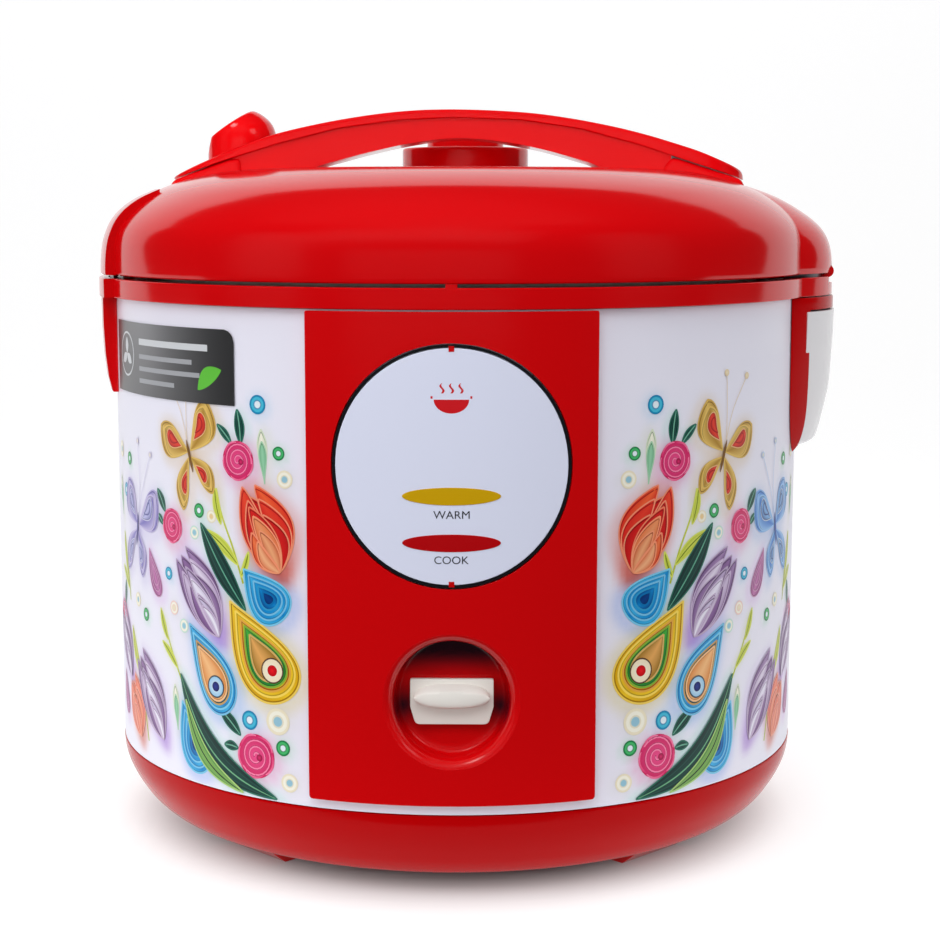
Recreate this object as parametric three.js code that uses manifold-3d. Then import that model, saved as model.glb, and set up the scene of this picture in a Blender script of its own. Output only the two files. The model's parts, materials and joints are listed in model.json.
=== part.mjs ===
// Electric rice cooker with a hinged domed lid, fixed bow handle, push-button latch, cook lever and dew collector.
// Millimetres. +Z is up, the control panel faces -Y, the lid hinge is on the +X side, and z = 0 is the table.
import * as THREE from "three";
import { mergeVertices } from "three/addons/utils/BufferGeometryUtils.js";
import Module from "manifold-3d";

// ---- driving dimensions ----
const GAP = 0.3; // clearance left between pieces that rest on each other
const SEG = 40; // segments of the large turned pieces
const SLEEVE_R = 127.5, SLEEVE_T = 0.9, SLEEVE_Z0 = 32.4, SLEEVE_Z1 = 196.5;
const RIM_R = 130.4, RIM_Z0 = 196.8, RIM_Z1 = 203.6;
const LID_Z0 = 204.8, LID_T = 2.6, LID_R = 129.8;
const DISH_Z = 230, DISH_R = 56;
const HUMP_C = 87; // axis of the hinge hump, on +X
const HINGE = [137.6, 205.4], KNUCKLE_R = 2.4, PIN_R = 1.2, PIN_LEN = 29;
const LATCH_PIVOT = [-118, 219];
const HANDLE_HALF = 17, BASE_HALF = 15.5;
const SCREWS = [[-69, 12.5], [70, 0]]; // handle screws
const BUTTON_X = -80.5, BUTTON_R = 12.8, BUTTON_TRAVEL = 4;
const VENT = [3, 45], VENT_R = 25;
const PANEL_R = 130.5, PANEL_HALF = 47, PANEL_Z0 = 36, PANEL_Z1 = 196.2;
const DISC_Z = 147, DISC_R = 37.9;
const LEVER_Z = 70.7, RECESS_R = 17.7, POCKET_R = 21.3;
const LEVER_PIVOT = [-60, 38];
const LINER_R = 113, LINER_T = 0.8, POT_R = 109, POT_T = 1.6, POT_RIM_R = 116;
const FOOT_W = 29.8, FOOT_R = 98.6;
const CUP_HALF = 35.5, CUP_Z0 = 142, CUP_Z1 = 191.5;

const wasm = await Module();
wasm.setup();
const { Manifold, Mesh } = wasm;

// ---- helpers ----
function solid(geometry) {
  const g = geometry.clone();
  for (const a of ["normal", "uv"]) if (g.getAttribute(a)) g.deleteAttribute(a);
  const m = mergeVertices(g, 1e-4);
  return new Manifold(
    new Mesh({
      numProp: 3,
      vertProperties: new Float32Array(m.attributes.position.array),
      triVerts: new Uint32Array(m.index.array),
    }),
  );
}
function area(p) {
  let a = 0;
  for (let i = 0; i < p.length; i++) {
    const q = p[(i + 1) % p.length];
    a += p[i][0] * q[1] - q[0] * p[i][1];
  }
  return a / 2;
}
// A closed profile of [radius, height] turned about +Z.
function turn(profile, seg = SEG, at = [0, 0]) {
  const p = area(profile) < 0 ? profile.slice().reverse() : profile.slice();
  const onAxis = p.map((q) => q[0] < 1e-9);
  let pts = p;
  if (onAxis.some(Boolean)) {
    // start where the profile leaves the axis and end where it comes back
    const n = p.length;
    let s = 0;
    for (let i = 0; i < n; i++) if (onAxis[i] && !onAxis[(i + 1) % n]) s = i;
    pts = p.map((_, i) => p[(s + i) % n]);
    while (pts[pts.length - 1][0] < 1e-9 && pts[pts.length - 2][0] < 1e-9) pts.pop();
  } else pts = [...p, p[0]];
  const g = new THREE.LatheGeometry(pts.map((q) => new THREE.Vector2(q[0], q[1])), seg);
  let s = solid(g);
  s = s.rotate([90, 0, 0]);
  if (s.volume() < 0) throw new Error("inside out turn");
  return s.translate([at[0], at[1], 0]);
}
// A polygon in [x, z] pushed from y0 to y1.
function slabY(poly, y0, y1) {
  const shape = new THREE.Shape(poly.map((q) => new THREE.Vector2(q[0], q[1])));
  const g = new THREE.ExtrudeGeometry(shape, { depth: y1 - y0, bevelEnabled: false });
  return solid(g).rotate([90, 0, 0]).translate([0, y1, 0]);
}
// A polygon in [x, y] pushed from z0 to z1.
function slabZ(poly, z0, z1) {
  const shape = new THREE.Shape(poly.map((q) => new THREE.Vector2(q[0], q[1])));
  const g = new THREE.ExtrudeGeometry(shape, { depth: z1 - z0, bevelEnabled: false });
  return solid(g).translate([0, 0, z0]);
}
const box = (x0, x1, y0, y1, z0, z1) =>
  solid(new THREE.BoxGeometry(x1 - x0, y1 - y0, z1 - z0)).translate([(x0 + x1) / 2, (y0 + y1) / 2, (z0 + z1) / 2]);
const cylZ = (r, z0, z1, seg = 24, at = [0, 0]) =>
  solid(new THREE.CylinderGeometry(r, r, z1 - z0, seg)).rotate([90, 0, 0]).translate([at[0], at[1], (z0 + z1) / 2]);
const cylY = (r, y0, y1, seg = 24, x = 0, z = 0, rx = 1, rz = 1) =>
  solid(new THREE.CylinderGeometry(r, r, y1 - y0, seg)).scale([rx, 1, rz]).translate([x, (y0 + y1) / 2, z]);
const cylX = (r, x0, x1, seg = 24, y = 0, z = 0) =>
  solid(new THREE.CylinderGeometry(r, r, x1 - x0, seg)).rotate([0, 0, 90]).translate([(x0 + x1) / 2, y, z]);
function coil(r, wire, z0, z1, turns, at, sides = 6, per = 12) {
  class Helix extends THREE.Curve {
    getPoint(t, out = new THREE.Vector3()) {
      const a = t * turns * 2 * Math.PI;
      return out.set(at[0] + r * Math.cos(a), at[1] + r * Math.sin(a), z0 + wire + t * (z1 - z0 - 2 * wire));
    }
  }
  const ring = new THREE.Shape();
  for (let i = 0; i < sides; i++) {
    const a = (i / sides) * 2 * Math.PI;
    if (i) ring.lineTo(wire * Math.cos(a), wire * Math.sin(a));
    else ring.moveTo(wire * Math.cos(a), wire * Math.sin(a));
  }
  ring.closePath();
  const s = solid(new THREE.ExtrudeGeometry(ring, { steps: Math.round(turns * per), extrudePath: new Helix(), bevelEnabled: false }));
  return s.volume() < 0 ? s.mirror([0, 0, 1]).mirror([0, 0, 1]) : s;
}

const MATERIALS = {
  red_gloss_plastic: [0xb80008, 0.18, 0],
  white_sleeve: [0xd9dae2, 0.3, 0],
  disc_white: [0xd6d7de, 0.3, 0],
  ivory_plastic: [0xe6e2d8, 0.45, 0],
  grey_plastic: [0x8f8f92, 0.6, 0],
  black_plastic: [0x151517, 0.6, 0],
  milky_plastic: [0xcfc7c8, 0.25, 0],
  lens_amber: [0xb88a00, 0.2, 0],
  lens_red: [0xa80010, 0.2, 0],
  dark_trim: [0x3a3a3e, 0.3, 0.8],
  aluminium: [0xb8babc, 0.4, 1],
  steel: [0x9a9b9e, 0.4, 1],
  silicone: [0xb9b6ad, 0.8, 0],
  glass_bulb: [0xe0c8a0, 0.1, 0],
};
const materials = {};
for (const [name, [color, roughness, metalness]] of Object.entries(MATERIALS)) {
  materials[name] = new THREE.MeshStandardMaterial({ color, roughness, metalness });
  materials[name].name = name;
}
const group = new THREE.Group();
group.name = "rice_cooker";
function add(name, s, material) {
  const m = s.getMesh(), n = m.numProp;
  const v = new Float32Array(m.numVert * 3);
  for (let i = 0; i < m.numVert; i++) v.set(m.vertProperties.subarray(i * n, i * n + 3), i * 3);
  const g = new THREE.BufferGeometry()
    .setAttribute("position", new THREE.BufferAttribute(v, 3))
    .setIndex(new THREE.BufferAttribute(new Uint32Array(m.triVerts), 1));
  g.computeVertexNormals();
  const mesh = new THREE.Mesh(g, materials[material]);
  mesh.name = name;
  group.add(mesh);
}
const cut = (s, ...others) => others.reduce((a, b) => a.subtract(b), s);
const join = (s, ...others) => others.reduce((a, b) => a.add(b), s);

// ---- lid: outer volume of the dome, hinge hump, latch rib, handle bosses and vent seat ----
function lidOuter(d = 0, z0 = LID_Z0) {
  const dome = turn([
    [0, z0], [LID_R + d, z0], [129.3 + d, 214], [127.2 + d, 221.6], [122.4 + d, 227.6 + d * 0.5],
    [111.4 + d * 0.5, 235.2 + d * 0.9], [96, 240.2 + d], [78, 242.4 + d],
    [67 - d * 0.2, 242.4 + d], [61.8 - d * 0.8, 239 + d * 0.5], [58.5 - d, 232 + d * 0.5], [54, DISH_Z + d], [0, DISH_Z + d],
  ]);
  const hump = turn([
    [0, z0], [54.5 + d, z0], [54 + d, 212], [52.2 + d, 218], [47.6 + d, 223.6 + d * 0.5],
    [40 + d * 0.6, 228.7 + d], [30, 233 + d], [0, 235.5 + d],
  ], 36, [HUMP_C, 0]).intersect(box(87, 150, -60, 60, 190, 250));
  const rib = turn([
    [0, z0], [101.3 + d, z0], [100.6 + d, 214], [99 + d, 219.6], [93.6 + d * 0.7, 227.6 + d * 0.7],
    [84, 234 + d], [0, 238],
  ], 48, [-31.7, 0]).intersect(box(-140, -60, -48 - d, 48 + d, 190, 250));
  const bossL = slabY([[-107, 234], [-104.5 - d, 238.6 + d], [-88.6, 244.2 + d], [-83.5 + d, 245.7 + d], [-82.6 + d, 243], [-82.6 + d, 234]], -16.5 - d, 16.5 + d);
  const bossR = slabY([[79.2 - d, 234], [79.2 - d, 243.5], [82.4, 246 + d], [105 + d, 238.7 + d], [107.5, 234]], -16.5 - d, 16.5 + d);
  const seat = cylZ(27 + d, 225, 243 + d, 32, VENT);
  return join(dome, hump, rib, bossL, bossR, seat);
}
const lidInner = join(
  turn([[0, 190], [LID_R - 2.6, 190], [126, 215], [120.4, 225], [107.2, 233.4], [90, 238], [67.5, 239.5], [63.6, 235.6], [60.8, 229.4], [54, 227.4], [0, 227.4]]),
  turn([[0, 190], [51.9, 190], [51, 212], [46, 221], [37, 227], [0, 231.6]], 36, [HUMP_C, 0])
    .intersect(box(87, 150, -60, 60, 180, 250)),
).subtract(cylZ(27, 228, 260, 32, VENT));
const knuckle = (r, y0, y1, seg = 20) => cylY(r, y0, y1, seg, HINGE[0], HINGE[1]);
{
  let s = lidOuter().subtract(lidInner);
  // vent seat: pocket and steam hole
  s = join(s, cylZ(24, 229.5, 234.6, 32, VENT));
  s = cut(s, cylZ(21.2, 234.6, 250, 28, VENT), cylZ(9.6, 220, 240, 16, VENT));
  // button well
  s = join(s, cylZ(16.2, 239, 243, 28, [BUTTON_X, 0]).intersect(lidOuter()));
  s = cut(s, cylZ(BUTTON_R + 0.8, 220, 250, 32, [BUTTON_X, 0]));
  // hook pocket
  s = cut(s, box(-129, -110, -9, 9, 195, 220));
  // hinge: lid knuckle in the middle, clearance for the body knuckles, chamfered lower outer corner
  s = join(s, knuckle(KNUCKLE_R, -5.4, 5.4), box(133, HINGE[0], -5.4, 5.4, 204.9, 208));
  s = cut(s, slabY([[HINGE[0] + 0.2, 200], [HINGE[0] + 0.2, LID_Z0 + 0.01], [141.9, 208.6], [146, 208.6], [146, 200]], -60, -5.4));
  s = cut(s, slabY([[HINGE[0] + 0.2, 200], [HINGE[0] + 0.2, LID_Z0 + 0.01], [141.9, 208.6], [146, 208.6], [146, 200]], 5.4, 60));
  s = cut(s, slabY([[139.3, 201.5], [141.6, 208.6], [146, 208.6], [146, 200]], -5.4, 5.4));
  for (const y of [-1, 1]) {
    const a = y < 0 ? -14.4 : 5.4, b = y < 0 ? -5.4 : 14.4; // the side gaps of the body knuckles
    s = cut(s, knuckle(KNUCKLE_R + 0.6, a, b), box(133, HINGE[0] + 0.2, a, b, 200, HINGE[1] + 2));
  }
  s = cut(s, knuckle(PIN_R + 0.2, -15, 15, 16));
  // holes for the handle screws
  for (const c of SCREWS) s = cut(s, cylZ(1.9, 230, 250, 10, c));
  add("lid_outer_shell", s, "red_gloss_plastic");
}

// ---- lid underside ----
{
  let s = turn([[0, 216.8], [114.6, 216.8], [116.8, 207.2], [125.7, 207.2], [125.7, 205.2], [115.2, 205.2], [112.9, 214.8], [0, 214.8]], 32);
  s = cut(s, cylZ(3.4, 210, 220, 12), cylZ(9.6, 210, 220, 24, VENT), box(-130, -117.2, -11, 11, 200, 212));
  s = cut(s, box(124.5, 130, -60, 60, 200, 209));
  add("lid_inner_cover", s, "grey_plastic");
}
{
  let s = turn([[3.3, 212.2], [106, 212.2], [110.2, 206.2], [114.4, 206.2], [114.4, 205.2], [109.5, 205.2], [105.3, 211.2], [3.3, 211.2]], 32);
  for (let i = 0; i < 5; i++) {
    const a = (i / 5) * 2 * Math.PI;
    s = cut(s, cylZ(2.1, 205, 214, 10, [VENT[0] + 5 * Math.cos(a), VENT[1] + 5 * Math.sin(a)]));
  }
  add("inner_lid_plate", s, "aluminium");
}
add("inner_lid_seal", turn([[110.2, 201.1], [114.6, 201.1], [115.3, 202.6], [114.2, 204.9], [110.4, 204.9]], 32), "silicone");
add("inner_lid_knob", turn([[0, 203.6], [7.5, 203.6], [10, 205.2], [10, 208.5], [8.5, 210.9], [2.9, 210.9], [2.9, 216.4], [0, 216.4]], 16), "silicone");

// ---- steam vent ----
{
  let s = turn([[0, 254.9], [14.2, 254.9], [15, 254.1], [15, 252.4], [24, 252.1], [25, 251.1], [25, 243.5], [20.6, 243.5], [20.6, 236], [18.6, 236], [18.6, 249.8], [0, 250.6]], 22, VENT);
  for (const [x, y] of [[-5, 0], [0, 0], [5, 0]]) s = cut(s, box(VENT[0] + x - 1.2, VENT[0] + x + 1.2, VENT[1] + y - 6, VENT[1] + y + 6, 246, 258));
  add("steam_vent_cap", s, "red_gloss_plastic");
}
add("steam_vent_grommet", turn([[6.8, 212.8], [9.2, 212.8], [9.2, 234.9], [11.5, 234.95], [11.5, 236.4], [6.8, 236.4]], 16, VENT), "silicone");

// ---- handle ----
const COVER_TOP = [[-105.8, 240.2], [-93.8, 245.6], [-81.3, 251.1], [-66.2, 256.7], [-43.7, 261.5], [-21.2, 264.1], [-0.5, 264.8], [23.8, 264.3], [41.1, 262.6], [57.2, 259.7], [69.6, 256.7], [79.8, 253.7], [88.9, 250.8], [96.1, 247.8], [102.9, 244.6], [106.6, 242], [107.2, 239.6]];
const COVER_LOW = [[-104.5, 239.0], [-88.6, 244.6], [-83.1, 246.4], [-64.6, 252.1], [-42.5, 257.5], [-20.5, 260.4], [-0.3, 261.3], [23.5, 260.4], [45.6, 257.2], [67.7, 251.3], [79.5, 247.4], [82.4, 246.4], [105, 239.2]];
const plan = (half, x0, x1, rl, rr) => {
  const p = [];
  for (let i = 0; i <= 8; i++) { const a = -Math.PI / 2 + (i / 8) * (Math.PI / 2); p.push([x1 - rr + rr * Math.cos(a), -half + rr + rr * Math.sin(a)]); }
  for (let i = 0; i <= 8; i++) { const a = (i / 8) * (Math.PI / 2); p.push([x1 - rr + rr * Math.cos(a), half - rr + rr * Math.sin(a)]); }
  for (let i = 0; i <= 8; i++) { const a = Math.PI / 2 + (i / 8) * (Math.PI / 2); p.push([x0 + rl + rl * Math.cos(a), half - rl + rl * Math.sin(a)]); }
  for (let i = 0; i <= 8; i++) { const a = Math.PI + (i / 8) * (Math.PI / 2); p.push([x0 + rl + rl * Math.cos(a), -half + rl + rl * Math.sin(a)]); }
  return p;
};
{
  let s = slabY([...COVER_TOP, ...COVER_LOW.slice().reverse()], -HANDLE_HALF, HANDLE_HALF);
  s = s.intersect(slabZ(plan(HANDLE_HALF, -106, 107.4, 14, 14), 230, 275));
  s = cut(s, cylZ(BUTTON_R + 1.1, 230, 275, 32, [BUTTON_X, 0]), lidOuter(GAP));
  add("handle_cover", s, "red_gloss_plastic");
}
{
  const top = COVER_LOW.slice(2, 11).map(([x, z]) => [x, z - GAP]);
  let s = slabY([[-82, 245.9], ...top, [79, 246.9], [79, 240], [62, 228], [60.5, 234.6], [57.5, 240.6], [54, 243], [45.7, 246], [32, 249.6], [16, 252.6], [0, 253.8], [-16, 252], [-32, 248.6], [-42.7, 246], [-53.8, 242.8], [-57.5, 240.6], [-60.5, 234.6], [-62, 228], [-82, 240]], -BASE_HALF, BASE_HALF);
  s = cut(s, lidOuter(GAP), cylZ(BUTTON_R + 1.1, 230, 275, 32, [BUTTON_X, 0]));
  for (const c of SCREWS) s = cut(s, cylZ(1.7, 230, 247, 10, c));
  add("handle_base", s, "red_gloss_plastic");
}
for (const [name, c] of [["handle_screw_left", SCREWS[0]], ["handle_screw_right", SCREWS[1]]]) {
  add(name, turn([[0, 235.6], [3.2, 235.6], [3.2, 238], [1.5, 238.6], [1.5, 246.4], [0, 246.4]], 12, c), "steel");
}

// ---- latch ----
{
  let s = turn([[0, 231.2], [7, 231.2], [7, 236], [BUTTON_R, 236], [BUTTON_R, 252], [12.9, 256], [9.4, 261.2], [6.4, 263.4], [3.1, 264.6], [0, 265]], 32, [BUTTON_X, 0]);
  s = cut(s, slabY([[-97, 250.66], [-91.4, 254.5], [-77.4, 264.1], [-72, 267.8], [-72, 280], [-97, 280]], -20, 20));
  s = cut(s, slabY([[-98, 233], [-97.5, 240], [-93.3, 246], [-91.4, 254.5], [-90, 262], [-98, 262]], -20, 20));
  add("release_button", s, "red_gloss_plastic");
}
add("button_spring", coil(5, 0.5, 217.1, 225.9, 3, [BUTTON_X, 0], 5, 10), "steel");
{
  let s = slabY([[-90, 226.2], [-74, 226.2], [-74, 229.6], [-77.5, 230.8], [-83.5, 230.8], [-90, 229], [-113, 223.2], [-120.5, 221.5], [-125.2, 217], [-125.2, 197.8], [-120.4, 197.8], [-120.4, 199.4], [-122.6, 200.7], [-122.9, 205], [-122.3, 214.5], [-117, 216.4], [-112, 219.6], [-95, 224.6]], -7, 7);
  s = join(s, cylY(3.6, -7, 7, 16, ...LATCH_PIVOT));
  s = cut(s, cylY(1.7, -9, 9, 12, ...LATCH_PIVOT));
  add("latch_hook", s, "ivory_plastic");
}
add("latch_pivot_pin", cylY(1.4, -13, 13, 12, ...LATCH_PIVOT), "steel");

// ---- body top: rim with hinge and latch portions ----
const humpBody = (r, z0, z1, seg = 36) => cylZ(r, z0, z1, seg, [HUMP_C, 0]).intersect(box(87, 150, -60, 60, 0, 300));
{
  let s = turn([[RIM_R, RIM_Z0], [RIM_R, RIM_Z1], [118.2, RIM_Z1], [116.7, 202.2], [116.7, 199.2], [122.4, 199.2], [122.4, 190], [126, 190], [126, RIM_Z0]]);
  s = join(s, humpBody(54.6, RIM_Z0, RIM_Z1).subtract(cylZ(128, 180, 220, SEG)));
  s = join(s, turn([[0, RIM_Z0], [101.3, RIM_Z0], [101.3, RIM_Z1], [0, RIM_Z1]], 48, [-31.7, 0]).intersect(box(-140, -60, -48, 48, 190, 250)).subtract(cylZ(128, 180, 220, SEG)));
  s = join(s, box(-1.9, 1.9, -130.9, -128.5, 199.5, RIM_Z1));
  // pocket of the latch hook, with a lip above it
  s = cut(s, box(-129.4, -119.4, -9, 9, 197.3, 200.9), box(-129.4, -122.2, -9, 9, 197.3, 210));
  // hinge: body knuckles, room for the lid knuckle and for the turning edge of the lid
  s = cut(s, slabY([[HINGE[0] - 0.3, RIM_Z1 + 1], [HINGE[0] - 0.3, 201.6], [141.9, 200.7], [146, 200.7], [146, RIM_Z1 + 1]], -60, 60));
  for (const y of [-1, 1]) {
    const a = y < 0 ? -14 : 5.8, b = y < 0 ? -5.8 : 14;
    s = join(s, knuckle(KNUCKLE_R, a, b), box(135.2, HINGE[0] + 0.4, a, b, 200, HINGE[1]));
  }
  s = cut(s, knuckle(KNUCKLE_R + 0.7, -5.8, 5.8), box(132.6, HINGE[0], -5.8, 5.8, HINGE[1] - 3.2, 210));
  s = cut(s, knuckle(PIN_R + 0.25, -40, 40, 16));
  add("upper_rim", s, "red_gloss_plastic");
}
add("hinge_pin", knuckle(PIN_R, -PIN_LEN / 2, PIN_LEN / 2, 12), "steel");

// ---- sleeve and what is fixed on it ----
const PANEL_A = Math.asin(PANEL_HALF / PANEL_R);
{
  let s = turn([[SLEEVE_R, SLEEVE_Z0], [SLEEVE_R, SLEEVE_Z1], [SLEEVE_R - SLEEVE_T, SLEEVE_Z1], [SLEEVE_R - SLEEVE_T, SLEEVE_Z0]], 48);
  s = cut(s, cylY(23, -140, -100, 24, 0, LEVER_Z), box(-26.5, 26.5, -140, -100, 112, 146), box(-17.3, 17.3, 100, 140, 37.7, 62.3));
  add("outer_sleeve", s, "white_sleeve");
}
{
  const wedge = slabZ([[0, 0], [-150 * Math.sin(PANEL_A), -150 * Math.cos(PANEL_A)], [-60, -180], [60, -180], [150 * Math.sin(PANEL_A), -150 * Math.cos(PANEL_A)]], PANEL_Z0, PANEL_Z1);
  let s = turn([[PANEL_R, PANEL_Z0], [PANEL_R, PANEL_Z1], [SLEEVE_R + 0.4, PANEL_Z1], [SLEEVE_R + 0.4, PANEL_Z0]], 72).intersect(wedge);
  s = join(s, cylY(22.6, -128.4, -119.2, 24, 0, LEVER_Z));
  s = cut(s, cylY(DISC_R + 1.4, -140, -110, 32, 0, DISC_Z));
  s = cut(s, cylY(20.6, -140, -129.2, 24, 0, LEVER_Z), cylY(RECESS_R + 1.4, -140, -127.4, 24, 0, LEVER_Z));
  s = cut(s, cylY(POCKET_R, -128.6, -120.6, 24, 0, LEVER_Z), box(-7.5, 7.5, -122, -110, 58, 76.8));
  add("control_panel", s, "red_gloss_plastic");
}
const lens = (z, d = 0) => cylY(1, -140, -110, 28, 0, z, 15.8 + d, 2.85 + d);
{
  let s = turn([[130.2, 100], [130.2, 190], [SLEEVE_R + 0.4, 190], [SLEEVE_R + 0.4, 100]], 72).intersect(cylY(DISC_R, -140, -110, 32, 0, DISC_Z));
  s = cut(s, lens(137.75, 0.3), lens(122.7, 0.3));
  add("panel_disc", s, "disc_white");
  let t = turn([[130.45, 100], [130.45, 190], [SLEEVE_R + 0.4, 190], [SLEEVE_R + 0.4, 100]], 72).intersect(
    cylY(DISC_R + 1.1, -140, -110, 32, 0, DISC_Z).subtract(cylY(DISC_R + 0.3, -150, -100, 32, 0, DISC_Z)));
  add("disc_trim_ring", t, "dark_trim");
  for (const [name, z, m] of [["lamp_lens_warm", 137.75, "lens_amber"], ["lamp_lens_cook", 122.7, "lens_red"]])
    add(name, turn([[130.35, 110], [130.35, 150], [SLEEVE_R + 0.4, 150], [SLEEVE_R + 0.4, 110]], 72).intersect(lens(z)), m);
}
add("lamp_board", box(-24, 24, -123, -121.4, 114, 145), "black_plastic");
for (const [name, z] of [["neon_lamp_warm", 137.75], ["neon_lamp_cook", 122.7]]) add(name, cylX(1.3, -9, 9, 12, -124.9, z), "glass_bulb");

// ---- cook lever ----
{
  let s = box(-13.7, 13.7, -123.2, -121.1, 60.3, 76.7);
  s = s.intersect(cylY(18.3, -140, -110, 28, 0, LEVER_Z));
  const face = [];
  for (let i = 0; i <= 12; i++) { const x = -12 + 2 * i; face.push([x, -128.2 + 1.9 * (x / 12) ** 2]); }
  s = join(s, slabZ([[12, -122.5], [-12, -122.5], ...face].reverse(), 68.3, 74).intersect(cylY(1, -140, -110, 40, 0, 71.15, 12.4, 9)));
  s = join(s, box(-6, 6, -122, -115, 69, 75), box(-6, 6, -116.9, -115, 36.4, 75), box(-6, 6, -116.9, 4, 36.4, 39.6));
  s = join(s, cylX(3.4, -6, 6, 16, ...LEVER_PIVOT));
  s = cut(s, cylX(1.8, -10, 10, 12, ...LEVER_PIVOT));
  add("cook_lever", s, "ivory_plastic");
}
add("lever_pivot_pin", cylX(1.5, -11, 11, 12, ...LEVER_PIVOT), "steel");

// ---- latch housing on the sleeve, hinge housing and dew collector ----
{
  let s = turn([[0, 162], [69.6, 162], [70.2, 165], [70.9, 172], [71.3, 180], [71.5, 196.5], [0, 196.5]], 40, [-60.6, 0]).intersect(box(-140, -100, -36, 36, 100, 250));
  s = cut(s, cylZ(SLEEVE_R + 0.4, 100, 250, 48));
  add("latch_housing", s, "red_gloss_plastic");
}
{
  let s = turn([[0, 138], [47, 138], [49.4, 139.4], [51.6, 142], [53, 146], [54.2, 154], [54.6, 166], [54.7, 196.5], [0, 196.5]], 36, [HUMP_C, 0]).intersect(box(87, 150, -60, 60, 100, 250));
  s = cut(s, cylZ(SLEEVE_R + 0.4, 100, 250, 48), box(100, 150, -CUP_HALF - 0.6, CUP_HALF + 0.6, 100, CUP_Z1 + 0.5));
  add("hinge_housing", s, "red_gloss_plastic");
}
{
  let s = turn([[0, CUP_Z0], [47.6, CUP_Z0], [49.4, 143.4], [50.8, 149], [53, 158], [54, 164], [54.9, 179], [55.2, CUP_Z1], [0, CUP_Z1]], 36, [HUMP_C, 0]).intersect(box(87, 150, -CUP_HALF, CUP_HALF, 100, 250));
  s = cut(s, cylZ(SLEEVE_R + 0.5, 100, 250, 48));
  const hollow = turn([[0, 143.6], [47.6, 143.6], [49.3, 149.2], [51.5, 158.2], [52.5, 164.2], [53.4, 179], [53.7, 200], [0, 200]], 36, [HUMP_C, 0])
    .intersect(box(87, 150, -CUP_HALF + 1.5, CUP_HALF - 1.5, 100, 250)).subtract(cylZ(SLEEVE_R + 2, 100, 250, 48));
  s = cut(s, hollow);
  add("dew_collector", s, "milky_plastic");
}

// ---- base ----
{
  let s = turn([[76, 5.5], [106.4, 5.5], [115.2, 9], [121.4, 15.6], [126.4, 24], [127.7, 32], [126.2, 32.2], [126.2, 38], [123.8, 38], [123.8, 27.6], [118.4, 17], [112.8, 11.4], [105.8, 8.2], [76, 8.2]]);
  for (let i = 0; i < 3; i++) {
    const a = ((90 + 120 * i) * Math.PI) / 180, c = [81 * Math.cos(a), 81 * Math.sin(a)];
    s = join(s, cylZ(4.2, 6, 15, 16, c)).subtract(cylZ(1.7, 0, 14, 12, c));
  }
  add("base_pan", s, "red_gloss_plastic");
}
{
  let s = turn([[0, 4], [87, 4], [87, 5.2], [0, 5.2]], 28);
  for (let i = 0; i < 3; i++) {
    const a = ((90 + 120 * i) * Math.PI) / 180, c = [81 * Math.cos(a), 81 * Math.sin(a)];
    s = s.subtract(cylZ(1.8, 0, 14, 12, c));
    s = s.subtract(box(-1.5, 1.5, 24, 52, 0, 10).rotate([0, 0, 120 * i])).subtract(box(-1.5, 1.5, 24, 52, 0, 10).rotate([0, 0, 120 * i + 60]));
    add("base_screw_" + (i + 1), turn([[0, 1.6], [3.2, 1.6], [3.2, 3.6], [1.4, 3.7], [1.4, 13.4], [0, 13.4]], 12, c), "steel");
  }
  add("base_cover", s, "steel");
}
for (const [name, az] of [["foot_front_left", 225], ["foot_front_right", 315], ["foot_rear_right", 45], ["foot_rear_left", 135]])
  add(name, slabY([[91, 0], [FOOT_R, 0], [105.2, 5.2], [91, 5.2]], -FOOT_W / 2, FOOT_W / 2).rotate([0, 0, az]), "red_gloss_plastic");

// ---- heating ----
add("inner_liner", turn([[24, 44], [108, 44], [LINER_R, 49], [LINER_R, 198], [121.4, 198], [121.4, 198.9], [LINER_R - LINER_T, 198.9], [LINER_R - LINER_T, 49.3], [107.6, 44.8], [24, 44.8]], 32).subtract(box(-125, -117, -9.5, 9.5, 190, 200)), "steel");
{
  let s = turn([[21, 50], [88, 50], [93.5, 56], [88, 62.2], [21, 62.2]], 28);
  for (let i = 0; i < 3; i++) { const a = ((30 + 120 * i) * Math.PI) / 180; s = join(s, cylZ(5, 45.1, 51, 12, [70 * Math.cos(a), 70 * Math.sin(a)])); }
  add("heating_plate", s, "aluminium");
}
add("inner_pot", turn([[0, 62.6], [90, 62.6], [104, 69], [POT_R, 80], [POT_R, 199.2], [POT_RIM_R, 199.2], [POT_RIM_R, 200.7], [POT_R - POT_T, 200.7], [POT_R - POT_T, 80.4], [102.8, 70.2], [89.6, 64.2], [0, 64.2]], 32), "aluminium");
add("thermostat_cap", turn([[0, 62.2], [17, 62.2], [18, 61.4], [18, 60.4], [15.6, 59.8], [15.6, 46], [14.2, 46], [14.2, 57], [0, 57]], 20), "aluminium");
add("thermostat_spring", coil(19.2, 0.6, 45.1, 59.9, 3, [0, 0], 5, 12), "steel");
add("thermostat_magnet", turn([[0, 40.1], [2.2, 40.1], [2.2, 44.2], [11, 44.2], [11, 50.6], [0, 50.6]], 20), "dark_trim");
add("side_heater_band", turn([[LINER_R + 0.3, 120], [LINER_R + 2.3, 120], [LINER_R + 2.3, 136], [LINER_R + 0.3, 136]], 32), "silicone");
add("keep_warm_thermostat", cylX(8, -121.4, -114.9, 16, 0, 95).rotate([0, 0, -35]), "black_plastic");
add("thermal_fuse", cylX(2.2, 20, 36, 12, 60, 41), "steel");
add("microswitch", box(8, 15, -102, -84, 16, 33).add(box(8, 15, -105, -80, 10, 16.5)), "black_plastic");

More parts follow.
